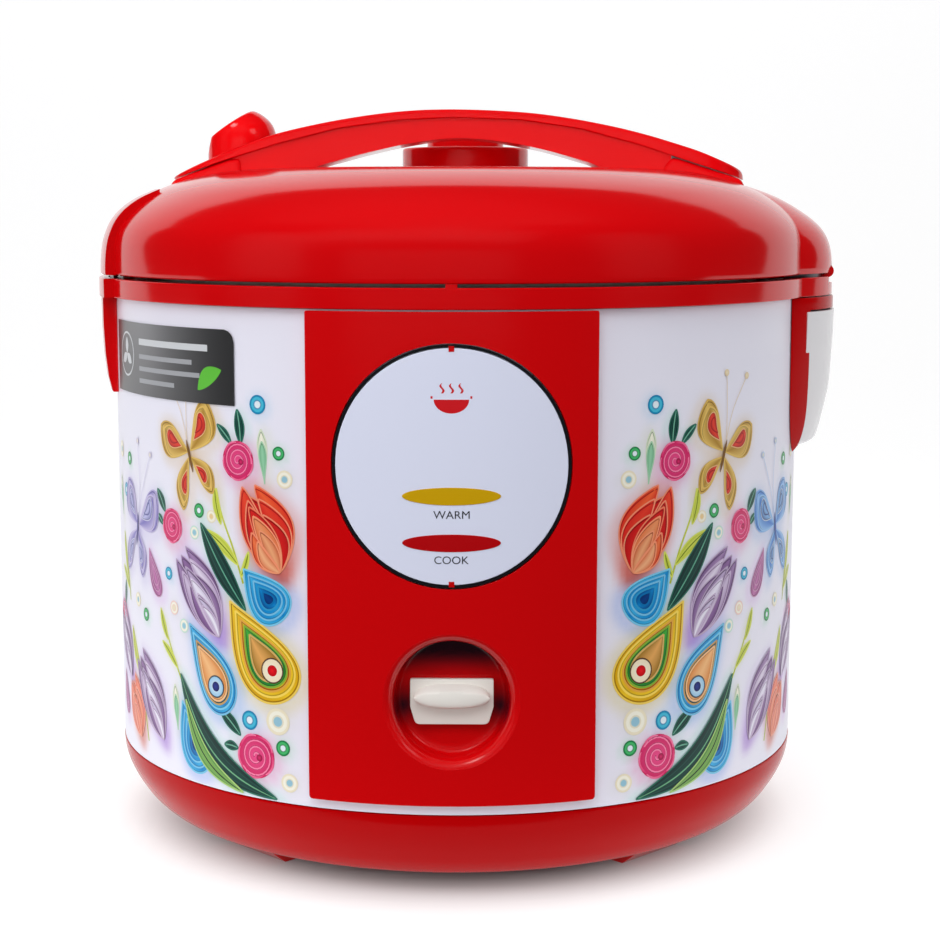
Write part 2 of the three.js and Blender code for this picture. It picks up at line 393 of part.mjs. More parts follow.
// ---- appliance inlet at the back ----
{
  let s = box(-17, 17, 114.4, 126.9, 38, 62).add(box(-20, 20, 127.8, 130, 35, 65)).add(box(-16.5, 16.5, 126, 128.5, 38.4, 61.6));
  s = cut(s, box(-12.5, 12.5, 116, 140, 42, 58));
  for (const [x, z] of [[-7, 47], [7, 47], [0, 53]]) s = cut(s, box(x - 1.3, x + 1.3, 110, 120, z - 2.4, z + 2.4));
  add("appliance_inlet", s, "black_plastic");
}
for (const [name, x, z] of [["inlet_pin_left", -7, 47], ["inlet_pin_right", 7, 47], ["inlet_pin_earth", 0, 53]]) add(name, box(x - 1, x + 1, 114, 122, z - 2.1, z + 2.1), "steel");

export default group;
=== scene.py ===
import json
import math

import bmesh
import bpy
import numpy as np
from mathutils import Matrix, Vector
from mathutils.geometry import tessellate_polygon

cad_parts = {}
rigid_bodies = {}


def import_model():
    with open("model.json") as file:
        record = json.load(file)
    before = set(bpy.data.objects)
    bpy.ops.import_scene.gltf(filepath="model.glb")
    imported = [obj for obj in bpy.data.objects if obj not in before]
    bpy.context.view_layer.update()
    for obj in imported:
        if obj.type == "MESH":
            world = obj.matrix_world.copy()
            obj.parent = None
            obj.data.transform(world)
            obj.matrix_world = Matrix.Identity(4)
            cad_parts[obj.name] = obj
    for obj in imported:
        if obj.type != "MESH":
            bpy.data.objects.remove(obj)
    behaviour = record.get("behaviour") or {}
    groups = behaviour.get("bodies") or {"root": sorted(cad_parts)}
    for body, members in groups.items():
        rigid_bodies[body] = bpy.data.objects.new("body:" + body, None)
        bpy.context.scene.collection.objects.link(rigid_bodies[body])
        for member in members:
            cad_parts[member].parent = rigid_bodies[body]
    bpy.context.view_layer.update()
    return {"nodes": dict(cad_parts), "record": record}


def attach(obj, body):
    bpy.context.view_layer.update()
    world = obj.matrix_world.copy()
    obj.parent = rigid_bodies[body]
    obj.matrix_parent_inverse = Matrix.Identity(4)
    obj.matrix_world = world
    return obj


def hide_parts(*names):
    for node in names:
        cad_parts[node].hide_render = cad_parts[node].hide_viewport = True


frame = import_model()
NODES = frame["nodes"]
MM = 0.001
TAU = 2 * math.pi


# ------------------------------------------------------------------ colours and materials
def lin(c):
    c = c / 255.0
    return c / 12.92 if c <= 0.04045 else ((c + 0.055) / 1.055) ** 2.4


def rgb(r, g, b):
    return (lin(r), lin(g), lin(b), 1.0)


def material(name, color, rough=0.4, metal=0.0, coat=0.0, coat_rough=0.05, ior=1.5, transmission=0.0, attribute=None, bump=0.0, bump_scale=400.0,
             rough_var=0.0, emission=None, emission_strength=0.0, specular=0.5, subsurface=0.0, alpha=1.0):
    m = bpy.data.materials.new(name)
    m.use_nodes = True
    nt = m.node_tree
    b = nt.nodes["Principled BSDF"]
    b.inputs["Base Color"].default_value = color
    b.inputs["Roughness"].default_value = rough
    b.inputs["Metallic"].default_value = metal
    b.inputs["Coat Weight"].default_value = coat
    b.inputs["Coat Roughness"].default_value = coat_rough
    b.inputs["IOR"].default_value = ior
    b.inputs["Specular IOR Level"].default_value = specular
    b.inputs["Transmission Weight"].default_value = transmission
    b.inputs["Subsurface Weight"].default_value = subsurface
    b.inputs["Subsurface Scale"].default_value = 0.003
    b.inputs["Alpha"].default_value = alpha
    if emission:
        b.inputs["Emission Color"].default_value = emission
        b.inputs["Emission Strength"].default_value = emission_strength
    if attribute:
        a = nt.nodes.new("ShaderNodeAttribute")
        a.attribute_name = attribute
        nt.links.new(a.outputs["Color"], b.inputs["Base Color"])
    if bump or rough_var:
        tc = nt.nodes.new("ShaderNodeTexCoord")
        n = nt.nodes.new("ShaderNodeTexNoise")
        n.inputs["Scale"].default_value = bump_scale
        n.inputs["Detail"].default_value = 3.0
        nt.links.new(tc.outputs["Object"], n.inputs["Vector"])
        if bump:
            bp = nt.nodes.new("ShaderNodeBump")
            bp.inputs["Strength"].default_value = bump
            bp.inputs["Distance"].default_value = 0.0002
            nt.links.new(n.outputs["Fac"], bp.inputs["Height"])
            nt.links.new(bp.outputs["Normal"], b.inputs["Normal"])
        if rough_var:
            mr = nt.nodes.new("ShaderNodeMapRange")
            mr.inputs["To Min"].default_value = max(0.02, rough - rough_var)
            mr.inputs["To Max"].default_value = rough + rough_var
            nt.links.new(n.outputs["Fac"], mr.inputs["Value"])
            nt.links.new(mr.outputs["Result"], b.inputs["Roughness"])
    return m


MAT = {
    "red_gloss_plastic": material("red_gloss_plastic", (0.62, 0.0006, 0.0022, 1), rough=0.12, rough_var=0.01, bump_scale=60, specular=0.5),
    "white_sleeve": material("white_sleeve", (0.84, 0.83, 0.93, 1), rough=0.34, rough_var=0.02, bump_scale=80),
    "disc_white": material("disc_white", (0.74, 0.77, 0.92, 1), rough=0.3, rough_var=0.02, bump_scale=90),
    "ivory_plastic": material("ivory_plastic", rgb(238, 234, 226), rough=0.38, rough_var=0.03, bump=0.05, bump_scale=600),
    "grey_plastic": material("grey_plastic", rgb(150, 150, 154), rough=0.5, rough_var=0.04, bump=0.12, bump_scale=900),
    "black_plastic": material("black_plastic", rgb(26, 26, 28), rough=0.5, rough_var=0.04, bump=0.12, bump_scale=900),
    "milky_plastic": material("milky_plastic", rgb(240, 238, 240), rough=0.22, transmission=0.12, rough_var=0.02, bump_scale=120, ior=1.45),
    "lens_amber": material("lens_amber", (0.60, 0.35, 0.001, 1), rough=0.25, rough_var=0.02, bump_scale=200),
    "lens_red": material("lens_red", (0.45, 0.001, 0.003, 1), rough=0.25, rough_var=0.02, bump_scale=200),
    "dark_trim": material("dark_trim", rgb(70, 70, 76), rough=0.28, metal=0.9, rough_var=0.03, bump_scale=300),
    "aluminium": material("aluminium", rgb(196, 197, 199), rough=0.36, metal=1.0, rough_var=0.06, bump=0.05, bump_scale=350),
    "steel": material("steel", rgb(176, 177, 180), rough=0.34, metal=1.0, rough_var=0.08, bump=0.05, bump_scale=350),
    "silicone": material("silicone", rgb(196, 193, 185), rough=0.65, rough_var=0.04, bump=0.1, bump_scale=500),
    "glass_bulb": material("glass_bulb", rgb(240, 220, 190), rough=0.08, transmission=0.7, rough_var=0.01, bump_scale=100),
    "print": material("print_ink", (1, 1, 1, 1), rough=0.36, attribute="ink", specular=0.3),
    "sticker": material("sticker_foil", (1, 1, 1, 1), rough=0.3, metal=0.55, attribute="ink"),
    "mark_red": material("mark_red", rgb(206, 24, 30), rough=0.35, rough_var=0.02),
    "label_dark": material("label_dark", rgb(48, 48, 56), rough=0.45, rough_var=0.03),
    # A darker copy of the red gloss plastic with weaker reflection: painted shade for the base bowl and the hinge
    # cover.
    "base_red_painted_shade": material("base_red_painted_shade", (0.47, 0.0004, 0.0014, 1), rough=0.18, rough_var=0.01, bump_scale=60, specular=0.08),
    # A darker copy of the red gloss plastic: painted shade for the control panel plate and the disc notches.
    "panel_red_painted_shade": material("panel_red_painted_shade", (0.56, 0.0005, 0.0018, 1), rough=0.16, rough_var=0.01, bump_scale=60, specular=0.5),
    "shadow_gap": material("shadow_gap", rgb(40, 2, 4), rough=0.6, rough_var=0.04),
}
CAD_SLOT = {s["node"]: s["material_slot"] for s in frame["record"]["subparts"]}
for n, o in NODES.items():
    o.data.materials.clear()
    o.data.materials.append(MAT[CAD_SLOT[n]])
    o.data.polygons.foreach_set("use_smooth", [True] * len(o.data.polygons))
    o.data.set_sharp_from_angle(angle=math.radians(28))
    me = o.data
    corner_key = [tuple(round(c, 6) for c in me.vertices[vi].co) for p in me.polygons for vi in p.vertices]
    touching = {}
    k = 0
    for p in me.polygons:
        for _ in p.vertices:
            touching.setdefault(corner_key[k], []).append((p.normal.copy(), p.area))
            k += 1
    soft, k = [], 0
    for p in me.polygons:
        for _ in p.vertices:
            total = Vector((0, 0, 0))
            for n_, area_ in touching[corner_key[k]]:
                if p.normal.dot(n_) > 0.83:
                    total += n_ * area_
            soft.append(total.normalized() if total.length > 0 else p.normal.copy())
            k += 1
    me.normals_split_custom_set(soft)


# ------------------------------------------------------------------ mesh helpers, in millimetres
def make(name, verts, faces, mat, body, replaces=(), slot=None, sharp=32, colors=None):
    me = bpy.data.meshes.new(name)
    me.from_pydata([(x * MM, y * MM, z * MM) for x, y, z in verts], [], faces)
    me.validate()
    me.materials.append(MAT[mat])
    o = bpy.data.objects.new(name, me)
    bpy.context.scene.collection.objects.link(o)
    if colors is not None:
        a = me.color_attributes.new("ink", "FLOAT_COLOR", "POINT")
        a.data.foreach_set("color", [c for q in colors for c in q])
    me.polygons.foreach_set("use_smooth", [True] * len(me.polygons))
    me.set_sharp_from_angle(angle=math.radians(sharp))
    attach(o, body)
    if replaces:
        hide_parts(*replaces)
    return o


def weighted(o):
    """Flat faces stay flat beside their rounded edges."""
    m = o.modifiers.new("n", "WEIGHTED_NORMAL")
    m.mode, m.weight, m.keep_sharp = "FACE_AREA", 50, True
    dg = bpy.context.evaluated_depsgraph_get()
    new = bpy.data.meshes.new_from_object(o.evaluated_get(dg))
    o.modifiers.clear()
    old, o.data = o.data, new
    bpy.data.meshes.remove(old)


def outward(o):
    bm = bmesh.new()
    bm.from_mesh(o.data)
    bmesh.ops.remove_doubles(bm, verts=bm.verts, dist=1e-7)
    bmesh.ops.recalc_face_normals(bm, faces=bm.faces)
    bm.to_mesh(o.data)
    bm.free()
    return o


def spline(pts, n):
    """Points on a smooth curve through pts."""
    out = []
    p = [pts[0], *pts, pts[-1]]
    for i in range(1, len(p) - 2):
        a, b, c, d = p[i - 1], p[i], p[i + 1], p[i + 2]
        for k in range(n):
            t = k / n
            out.append(tuple(0.5 * (2 * b[j] + (c[j] - a[j]) * t + (2 * a[j] - 5 * b[j] + 4 * c[j] - d[j]) * t * t + (3 * b[j] - a[j] - 3 * c[j] + d[j]) * t ** 3) for j in (0, 1)))
    out.append(tuple(pts[-1]))
    return out


def fillet(poly, radii, n=5, closed=True):
    """A polygon with its corners rounded. radii is one number or one for each corner."""
    m = len(poly)
    if not hasattr(radii, "__len__"):
        radii = [radii] * m
    out = []
    for i, p in enumerate(poly):
        r = radii[i]
        if r <= 0 or (not closed and i in (0, m - 1)):
            out.append(tuple(p))
            continue
        a, b = Vector(poly[i - 1]) - Vector(p), Vector(poly[(i + 1) % m]) - Vector(p)
        la, lb = a.length, b.length
        a.normalize(), b.normalize()
        ang = a.angle(b)
        if ang > 3.1:
            out.append(tuple(p))
            continue
        d = min(r / math.tan(ang / 2), la * 0.49, lb * 0.49)
        s, e = Vector(p) + a * d, Vector(p) + b * d
        for k in range(n + 1):
            t = k / n
            q = s * (1 - t) ** 2 + Vector(p) * 2 * t * (1 - t) + e * t * t
            out.append(tuple(q))
    return out


def lathe(profile, seg=160, at=(0, 0), a0=0.0, a1=TAU):
    """Verts and faces of a closed [r, z] loop turned about +Z, or part of a turn with closed ends."""
    full = abs(a1 - a0 - TAU) < 1e-6
    cols = seg if full else seg + 1
    n = len(profile)
    verts, faces = [], []
    for i in range(cols):
        a = a0 + (a1 - a0) * i / seg
        for r, z in profile:
            verts.append((at[0] + r * math.cos(a), at[1] + r * math.sin(a), z))
    for i in range(seg):
        j = (i + 1) % cols
        for k in range(n):
            l = (k + 1) % n
            faces.append((i * n + k, j * n + k, j * n + l, i * n + l))
    if not full:
        faces.append(tuple(range(n)))
        faces.append(tuple((cols - 1) * n + k for k in reversed(range(n))))
    return verts, faces


def turned(name, profile, mat, body, replaces=(), slot=None, seg=160, at=(0, 0), a0=0.0, a1=TAU, sharp=35):
    v, f = lathe(profile, seg, at, a0, a1)
    return outward(make(name, v, f, mat, body, replaces, slot or mat, sharp))


def prism(name, outline, lo, hi, mat, body, axis="z", replaces=(), slot=None, bevel=0.0, segs=3, sharp=32, angle=25):
    """outline pushed along an axis: z takes (x, y), y takes (x, z), x takes (y, z)."""
    def at(p, h):
        return {"z": (p[0], p[1], h), "y": (p[0], h, p[1]), "x": (h, p[0], p[1])}[axis]
    n = len(outline)
    verts = [at(p, lo) for p in outline] + [at(p, hi) for p in outline]
    faces = [tuple(range(n)), tuple(reversed(range(n, 2 * n)))] + [(i, (i + 1) % n, (i + 1) % n + n, i + n) for i in range(n)]
    o = make(name, verts, faces, mat, body, replaces, slot or mat, sharp)
    bevel_mesh(o, bevel, segs, angle, sharp)
    return o


def bevel_mesh(o, width, segs=3, angle=25, sharp=32):
    bm = bmesh.new()
    bm.from_mesh(o.data)
    bmesh.ops.remove_doubles(bm, verts=bm.verts, dist=1e-7)
    bmesh.ops.recalc_face_normals(bm, faces=bm.faces)
    if width:
        edges = [e for e in bm.edges if len(e.link_faces) == 2 and e.calc_face_angle(0) > math.radians(angle)]
        bmesh.ops.bevel(bm, geom=edges, offset=width * MM, segments=segs, profile=0.5, affect="EDGES", clamp_overlap=True)
    bm.to_mesh(o.data)
    bm.free()
    o.data.polygons.foreach_set("use_smooth", [True] * len(o.data.polygons))
    o.data.set_sharp_from_angle(angle=math.radians(sharp))


def block(name, x0, x1, y0, y1, z0, z1, mat, body, bevel=0.3, replaces=(), slot=None, segs=2):
    return prism(name, [(x0, y0), (x1, y0), (x1, y1), (x0, y1)], z0, z1, mat, body, replaces=replaces, slot=slot, bevel=bevel, segs=segs)


def cutter(verts, faces):
    me = bpy.data.meshes.new("cutter")
    me.from_pydata([(x * MM, y * MM, z * MM) for x, y, z in verts], [], faces)
    o = bpy.data.objects.new("cutter", me)
    bpy.context.scene.collection.objects.link(o)
    bm = bmesh.new()
    bm.from_mesh(me)
    bmesh.ops.recalc_face_normals(bm, faces=bm.faces)
    bm.to_mesh(me)
    bm.free()
    return o


def cut_box(x0, x1, y0, y1, z0, z1):
    v = [(x, y, z) for x in (x0, x1) for y in (y0, y1) for z in (z0, z1)]
    return cutter(v, [(0, 1, 3, 2), (4, 6, 7, 5), (0, 4, 5, 1), (2, 3, 7, 6), (0, 2, 6, 4), (1, 5, 7, 3)])


def cut_rod(axis, r, lo, hi, c, seg=48):
    pts = [(c[0] + r * math.cos(TAU * i / seg), c[1] + r * math.sin(TAU * i / seg)) for i in range(seg)]
    def at(p, h):
        return {"z": (p[0], p[1], h), "y": (p[0], h, p[1]), "x": (h, p[0], p[1])}[axis]
    v = [at(p, lo) for p in pts] + [at(p, hi) for p in pts]
    return cutter(v, [tuple(range(seg)), tuple(reversed(range(seg, 2 * seg)))] + [(i, (i + 1) % seg, (i + 1) % seg + seg, i + seg) for i in range(seg)])


def carve(o, *cutters, op="DIFFERENCE", sharp=32):
    for c in cutters:
        m = o.modifiers.new("b", "BOOLEAN")
        m.operation, m.solver, m.object = op, "EXACT", c
        dg = bpy.context.evaluated_depsgraph_get()
        new = bpy.data.meshes.new_from_object(o.evaluated_get(dg))
        o.modifiers.clear()
        old, o.data = o.data, new
        bpy.data.meshes.remove(old)
        bpy.data.objects.remove(c)
    o.data.polygons.foreach_set("use_smooth", [True] * len(o.data.polygons))
    o.data.set_sharp_from_angle(angle=math.radians(sharp))
    return o


# ------------------------------------------------------------------ lid
HUMP = 87.0
dome_out = spline([(129.8, 206.0), (129.7, 211), (129.2, 216.5), (127.6, 221.4), (124.2, 226.0), (118.6, 230.7), (110.6, 235.3), (100, 239.0), (88, 241.5), (77, 242.4), (69, 242.5)], 6)
dish_in = fillet([(69, 242.5), (64.6, 242.4), (59.6, 231.2), (54, 230)], [0, 3.2, 4, 0], 6, closed=False)
lid_profile = [(129.2, 204.8), (129.7, 205.2), *dome_out, *dish_in[1:], (0.01, 230), (0.01, 227.6), (54, 227.4), (61.5, 229.8), (64.5, 236.5), (68, 239.6), (90, 238.2), (107.2, 233.2), (120.2, 224.6), (126.4, 214), (127.2, 204.8)]
lid = turned("lid_shell", lid_profile, "red_gloss_plastic", "lid", ["lid_outer_shell"], seg=192)
carve(lid, cut_rod("z", 13.6, 220, 250, (-80.5, 0)), cut_rod("z", 20.9, 226, 250, (3, 45), 64))
hump_out = spline([(54.0, 206.6), (53.9, 209.5), (53.5, 212.5), (52.8, 215.4), (51.5, 218.4), (49.4, 221.4), (46.2, 224.4), (42.0, 227.4), (36.4, 230.8), (30, 233.8), (22, 236.6)], 5)
hump_profile = [(50.7, 204.8), *hump_out, (20, 234), (36, 227.6), (46, 221), (50.0, 214), (50.4, 206)]
hump = turned("lid_hinge_hump", [(50.6, 204.9), (50.9, 204.8), (53.6, 204.9), *hump_out, (22, 234), (36, 227.8), (45.6, 221), (49.2, 214), (50.2, 206)], "red_gloss_plastic", "lid", seg=72, at=(HUMP, 0), a0=-1.02, a1=1.02)
carve(hump, cut_rod("y", 3.3, -15.6, 15.6, (137.6, 205.4), 32))
rib_out = spline([(146.1, 206), (146.0, 209.5), (145.5, 214.5), (144.4, 219), (142.1, 224), (138.5, 228.2), (133.1, 232.0), (126, 235.2)], 5)
turned("lid_latch_rib", [(145.6, 204.8), (146.05, 205.2), *rib_out, (126, 229), (134, 224), (138.6, 218), (140.6, 212), (141, 204.8)], "red_gloss_plastic", "lid", seg=64, at=(13.7, 0), a0=math.pi - 0.338, a1=math.pi + 0.338)
prism("handle_boss_left", [(-107, 234), (-104.3, 238.8), (-88.6, 244.5), (-83.6, 246.2), (-79.4, 246.6), (-78.6, 234)], -16.6, 16.6, "red_gloss_plastic", "lid", "y", bevel=1.6, segs=4)
carve(bpy.data.objects["handle_boss_left"], cut_rod("z", 13.6, 220, 250, (-80.5, 0)))
prism("handle_boss_right", [(76.4, 234), (76.4, 243.6), (79.4, 246.9), (82.2, 246.3), (105, 239.0), (107.5, 234)], -16.6, 16.6, "red_gloss_plastic", "lid", "y", bevel=1.6, segs=4)
seat = turned("vent_seat", fillet([(27.4, 229.8), (27, 243), (21.3, 243), (21.3, 234.6), (9.7, 234.6), (9.7, 229.8)], [0, 1.4, 0.6, 0.6, 0.3, 0]), "red_gloss_plastic", "lid", seg=96, at=(3, 45))
prism("lid_hinge_knuckle", [(137.6 + 2.4 * math.cos(TAU * i / 32), 205.4 + 2.4 * math.sin(TAU * i / 32)) for i in range(32)], -5.3, 5.3, "red_gloss_plastic", "lid", "y", bevel=0.2)
carve(bpy.data.objects["lid_hinge_knuckle"], cut_rod("y", 1.4, -8, 8, (137.6, 205.4), 24))

# handle cover: rounded strip over an arc, plan ends rounded
top = spline([(-105.8, 240.2), (-93.8, 245.4), (-81.3, 250.7), (-66.2, 256.0), (-43.7, 260.9), (-21.2, 264.0), (-0.5, 264.8), (23.8, 263.8), (41.1, 261.7), (57.2, 258.7), (69.6, 255.7), (79.8, 252.7), (88.9, 249.8), (96.1, 246.9), (102.9, 244.0), (106.0, 242.2), (107.1, 240.2)], 5)
low = [(-104.5, 239.1), (-88.6, 244.7), (-83.1, 246.5), (-64.6, 252.2), (-42.5, 257.6), (-20.5, 260.5), (-0.3, 261.4), (23.5, 260.5), (45.6, 257.3), (67.7, 251.4), (79.5, 247.5), (82.4, 246.5), (105, 239.3), (107.2, 238.7)]


def interp(pts, x):
    if x <= pts[0][0]:
        return pts[0][1]
    for a, b in zip(pts, pts[1:]):
        if x <= b[0]:
            t = (x - a[0]) / max(1e-9, b[0] - a[0])
            return a[1] + (b[1] - a[1]) * t
    return pts[-1][1]


def cover():
    xs = [-105.7, -105.3, -104.6, -103.5, -102, -100, -97, -94] + [-91 + i * 3.0 for i in range(60)] + [89, 92, 95, 98, 100.5, 102.5, 104, 105.2, 106.1, 106.7, 107.0]
    verts, faces = [], []
    R = 14.0
    for x in xs:
        if x < -105.8 + R:
            d = -105.8 + R - x
            w = 17 - R + math.sqrt(max(0.0, R * R - d * d))
        elif x > 107.15 - R:
            d = x - (107.15 - R)
            w = 17 - R + math.sqrt(max(0.0, R * R - d * d))
        else:
            w = 17.0
        zt, zl = interp(top, x), interp(low, x)
        if zt - zl < 0.5:
            zt = zl + 0.5
        h = zt - zl
        c = min(1.3, h * 0.4)
        sec = fillet([(-w, zl), (w, zl), (w + 0.0, zt - 0.5), (w * 0.5, zt - 0.06), (0, zt), (-w * 0.5, zt - 0.06), (-w, zt - 0.5)], [0.35, 0.35, c, 0, 0, 0, c], 4)
        verts += [(x, y, z) for y, z in sec]
    n = len(sec)
    for i in range(len(xs) - 1):
        for k in range(n):
            l = (k + 1) % n
            faces.append((i * n + k, (i + 1) * n + k, (i + 1) * n + l, i * n + l))
    faces.append(tuple(range(n)))
    faces.append(tuple((len(xs) - 1) * n + k for k in range(n)))
    return verts, faces


hc = outward(make("handle_cover_strip", *cover(), "red_gloss_plastic", "lid", ["handle_cover"], "red_gloss_plastic", 40))
carve(hc, cut_rod("z", 13.5, 225, 275, (-80.5, 0), 64), sharp=40)
under = spline([(58.6, 237.5), (56.2, 241.4), (51, 244.3), (45.7, 246.0), (32, 249.8), (16, 252.8), (0, 253.9), (-16, 252.2), (-32, 248.8), (-42.7, 246), (-50.5, 243.8), (-56.4, 241.0), (-58.8, 237.5)], 4)
hb = prism("handle_lower_body", [(-82.2, 240), (-82.2, 247.0), (-64.6, 252.9), (-42.5, 258.3), (-20.5, 261.2), (-0.3, 262.1), (23.5, 261.2), (45.6, 258.0), (67.7, 252.1), (79.2, 248.2), (79.2, 240), (70, 236), (60.6, 233.0), *under, (-60.8, 233.0), (-70, 236)], -15.5, 15.5, "red_gloss_plastic", "lid", "y", ["handle_base"])
bm = bmesh.new()
bm.from_mesh(hb.data)
bmesh.ops.remove_doubles(bm, verts=bm.verts, dist=1e-7)
low_edges = []
for e in bm.edges:
    p, q = e.verts[0].co / MM, e.verts[1].co / MM
    if abs(p.y - q.y) < 0.01 and max(abs(p.x), abs(q.x)) < 58.7 and max(p.z, q.z) < 254.6 and min(p.z, q.z) > 238.5:
        low_edges.append(e)
bmesh.ops.bevel(bm, geom=low_edges, offset=4.6 * MM, segments=7, profile=0.5, affect="EDGES", clamp_overlap=True)
bmesh.ops.recalc_face_normals(bm, faces=bm.faces)
bm.to_mesh(hb.data)
bm.free()
hb.data.polygons.foreach_set("use_smooth", [True] * len(hb.data.polygons))
hb.data.set_sharp_from_angle(angle=math.radians(34))
carve(hb, cut_rod("z", 13.5, 225, 275, (-80.5, 0), 64))


# release button: a tall dome whose face is tilted towards the latch
def button():
    prof = [(0.01, 231.3), (7, 231.3), (7, 236), (12.6, 236), (12.8, 237), (12.8, 247), (12.85, 251), (12.8, 254.5), (12.3, 257.2), (11.2, 259.6), (9.4, 261.6), (7.6, 263.0), (5.6, 264.1), (3.1, 264.9), (1.4, 265.2), (0.01, 265.3)]
    prof = prof[:4] + spline(prof[4:], 4)
    v, f = lathe(prof, 96, (-80.5, 0))
    out = []
    for x, y, z in v:
        if z > 243:
            plane = 254.6 + (x + 91.4) * 0.686
            k = 1.1
            h = max(k - abs(z - plane), 0.0) / k
            z = min(z, plane) - h * h * k * 0.25
            side = -93.4 + (z - 247.4) * 0.30
            if x < side and z > 246:
                x = side
        out.append((x, y, z))
    return out, f


outward(make("button_dome", *button(), "red_gloss_plastic", "button", ["release_button"], "red_gloss_plastic", 50))

# steam vent cap
vc = turned("vent_cap_body", fillet([(0.01, 254.9), (15, 254.9), (15.2, 252.3), (25, 252.0), (25, 243.5), (20.4, 243.5), (20.4, 236.2), (18.6, 236.2), (18.6, 249.8), (0.01, 250.6)], [0, 0.9, 0.4, 1.3, 0.3, 0.2, 0.3, 0.3, 0.3, 0]), "red_gloss_plastic", "vent_cap", ["steam_vent_cap"], seg=96, at=(3, 45))
carve(vc, *[cut_box(3 + x - 1.2, 3 + x + 1.2, 39, 51, 246, 258) for x in (-5, 0, 5)])

# ------------------------------------------------------------------ body top
rim = turned("rim_ring", fillet([(130.4, 196.8), (130.4, 203.6), (118.0, 203.6), (116.7, 202.2), (116.7, 199.2), (122.4, 199.2), (122.4, 190), (126, 190), (126, 196.8)], [0.25, 0.5, 1, 0.8, 0.2, 0.2, 0.2, 0.2, 0]), "red_gloss_plastic", "cooker_body", ["upper_rim"], seg=192)
carve(rim, cut_box(-129.4, -119.4, -9, 9, 197.3, 200.9), cut_box(-129.4, -122.2, -9, 9, 197.3, 210))
arc = math.asin(47.0 / 54.6)
rh = turned("rim_hinge_band", fillet([(54.2, 196.8), (54.2, 203.6), (36, 203.6), (36, 196.8)], [0.25, 0.5, 0, 0]), "red_gloss_plastic", "cooker_body", seg=72, at=(HUMP, 0), a0=-arc, a1=arc)
carve(rh, cutter(*(lambda p: ([(x, -60, z) for x, z in p] + [(x, 60, z) for x, z in p], [(0, 1, 2, 3, 4), (9, 8, 7, 6, 5)] + [(i, (i + 1) % 5, (i + 1) % 5 + 5, i + 5) for i in range(5)]))([(137.3, 206), (137.3, 201.6), (141.9, 200.7), (146, 200.7), (146, 206)])), cut_rod("y", 3.1, -5.8, 5.8, (137.6, 205.4), 32), cut_rod("z", 116.8, 180, 220, (0, 0), 96))
for i, (a, b) in enumerate([(-15.0, -5.8), (5.8, 15.0)]):
    k = prism("body_hinge_knuckle_%d" % (i + 1), [(137.6 + 2.4 * math.cos(TAU * j / 32), 205.4 + 2.4 * math.sin(TAU * j / 32)) for j in range(32)], a, b, "red_gloss_plastic", "cooker_body", "y", bevel=0.2)
    carve(k, cut_rod("y", 1.3, -14.6, 14.6, (137.6, 205.4), 24))
    block("body_hinge_ear_%d" % (i + 1), 135.3, 136.4, a, b, 200, 205.4, "red_gloss_plastic", "cooker_body", bevel=0.1)
rr = turned("rim_latch_band", fillet([(146.7, 196.8), (146.7, 203.6), (140, 203.6), (140, 196.8)], [0.25, 0.5, 0, 0]), "red_gloss_plastic", "cooker_body", seg=64, at=(13.7, 0), a0=math.pi - 0.336, a1=math.pi + 0.336)
carve(rr, cut_box(-129.4, -119.0, -9, 9, 190, 210))
# Dark strips inside the lid seam at the hinge and the latch: painted shade that keeps the gap dark.
turned("hinge_seam_painted_shade", [(50.0, 203.4), (51.0, 203.4), (51.0, 204.6), (50.0, 204.6)], "dark_trim", "cooker_body", slot="red_gloss_plastic", seg=48, at=(HUMP, 0), a0=-0.92, a1=0.92)
for i, (a, b) in enumerate([(math.pi - 0.32, math.pi - 0.08), (math.pi + 0.08, math.pi + 0.32)]):
    turned("latch_seam_painted_shade_%d" % (i + 1), [(141.6, 203.4), (142.8, 203.4), (142.8, 204.6), (141.6, 204.6)], "dark_trim", "cooker_body", slot="red_gloss_plastic", seg=24, at=(13.7, 0), a0=a, a1=b)
block("rim_front_tab", -1.9, 1.9, -130.35, -127.5, 203.0, 204.75, "red_gloss_plastic", "cooker_body", bevel=0.1)

# ------------------------------------------------------------------ sleeve, housings, base
sleeve = turned("sleeve_skin", [(127.5, 32.4), (127.5, 196.5), (126.6, 196.5), (126.6, 32.4)], "white_sleeve", "cooker_body", ["outer_sleeve"], seg=240)
carve(sleeve, cut_rod("y", 23, -140, -100, (0, 70.7)), cut_box(-17.3, 17.3, 100, 140, 37.7, 62.3), cut_box(-26.5, 26.5, -140, -100, 112, 146))
lh = turned("latch_cover", fillet([(124.9, 162), (127.0, 162), (128.4, 168), (129.3, 176), (129.8, 186), (129.9, 196.7), (124.9, 196.7)], [0, 0.9, 3, 3, 3, 0.2, 0]), "red_gloss_plastic", "cooker_body", ["latch_housing"], seg=48, at=(-2.8, 0), a0=math.pi - 0.281, a1=math.pi + 0.281)
hh_out = spline([(47.2, 138.3), (49.8, 139.6), (51.8, 142.2), (53.2, 147), (54.2, 155), (54.6, 168), (54.7, 182), (54.7, 195.9)], 5)
hh = turned("hinge_cover", [(30, 138.3), *hh_out, (54.4, 196.4), (30, 196.4)], "base_red_painted_shade", "cooker_body", ["hinge_housing"], slot="red_gloss_plastic", seg=96, at=(HUMP, 0), a0=-1.1, a1=1.1)
carve(hh, cut_rod("z", 127.85, 100, 250, (0, 0), 240), cut_box(100, 150, -36.1, 36.1, 100, 192))
cup_out = spline([(47.8, 142.2), (49.4, 143.8), (50.9, 149), (52.9, 158), (53.9, 164), (54.8, 179), (55.2, 191.3)], 5)
cup = turned("dew_cup_shell", [(28, 142.1), (46.8, 142.1), *cup_out, (53.8, 191.4), (53.3, 179), (52.4, 164), (51.4, 158), (49.3, 149.2), (47.4, 143.8), (28, 143.8)], "milky_plastic", "dew_cup", ["dew_collector"], seg=72, at=(HUMP, 0), a0=-0.76, a1=0.76)
carve(cup, cut_rod("z", 127.95, 100, 250, (0, 0), 240))
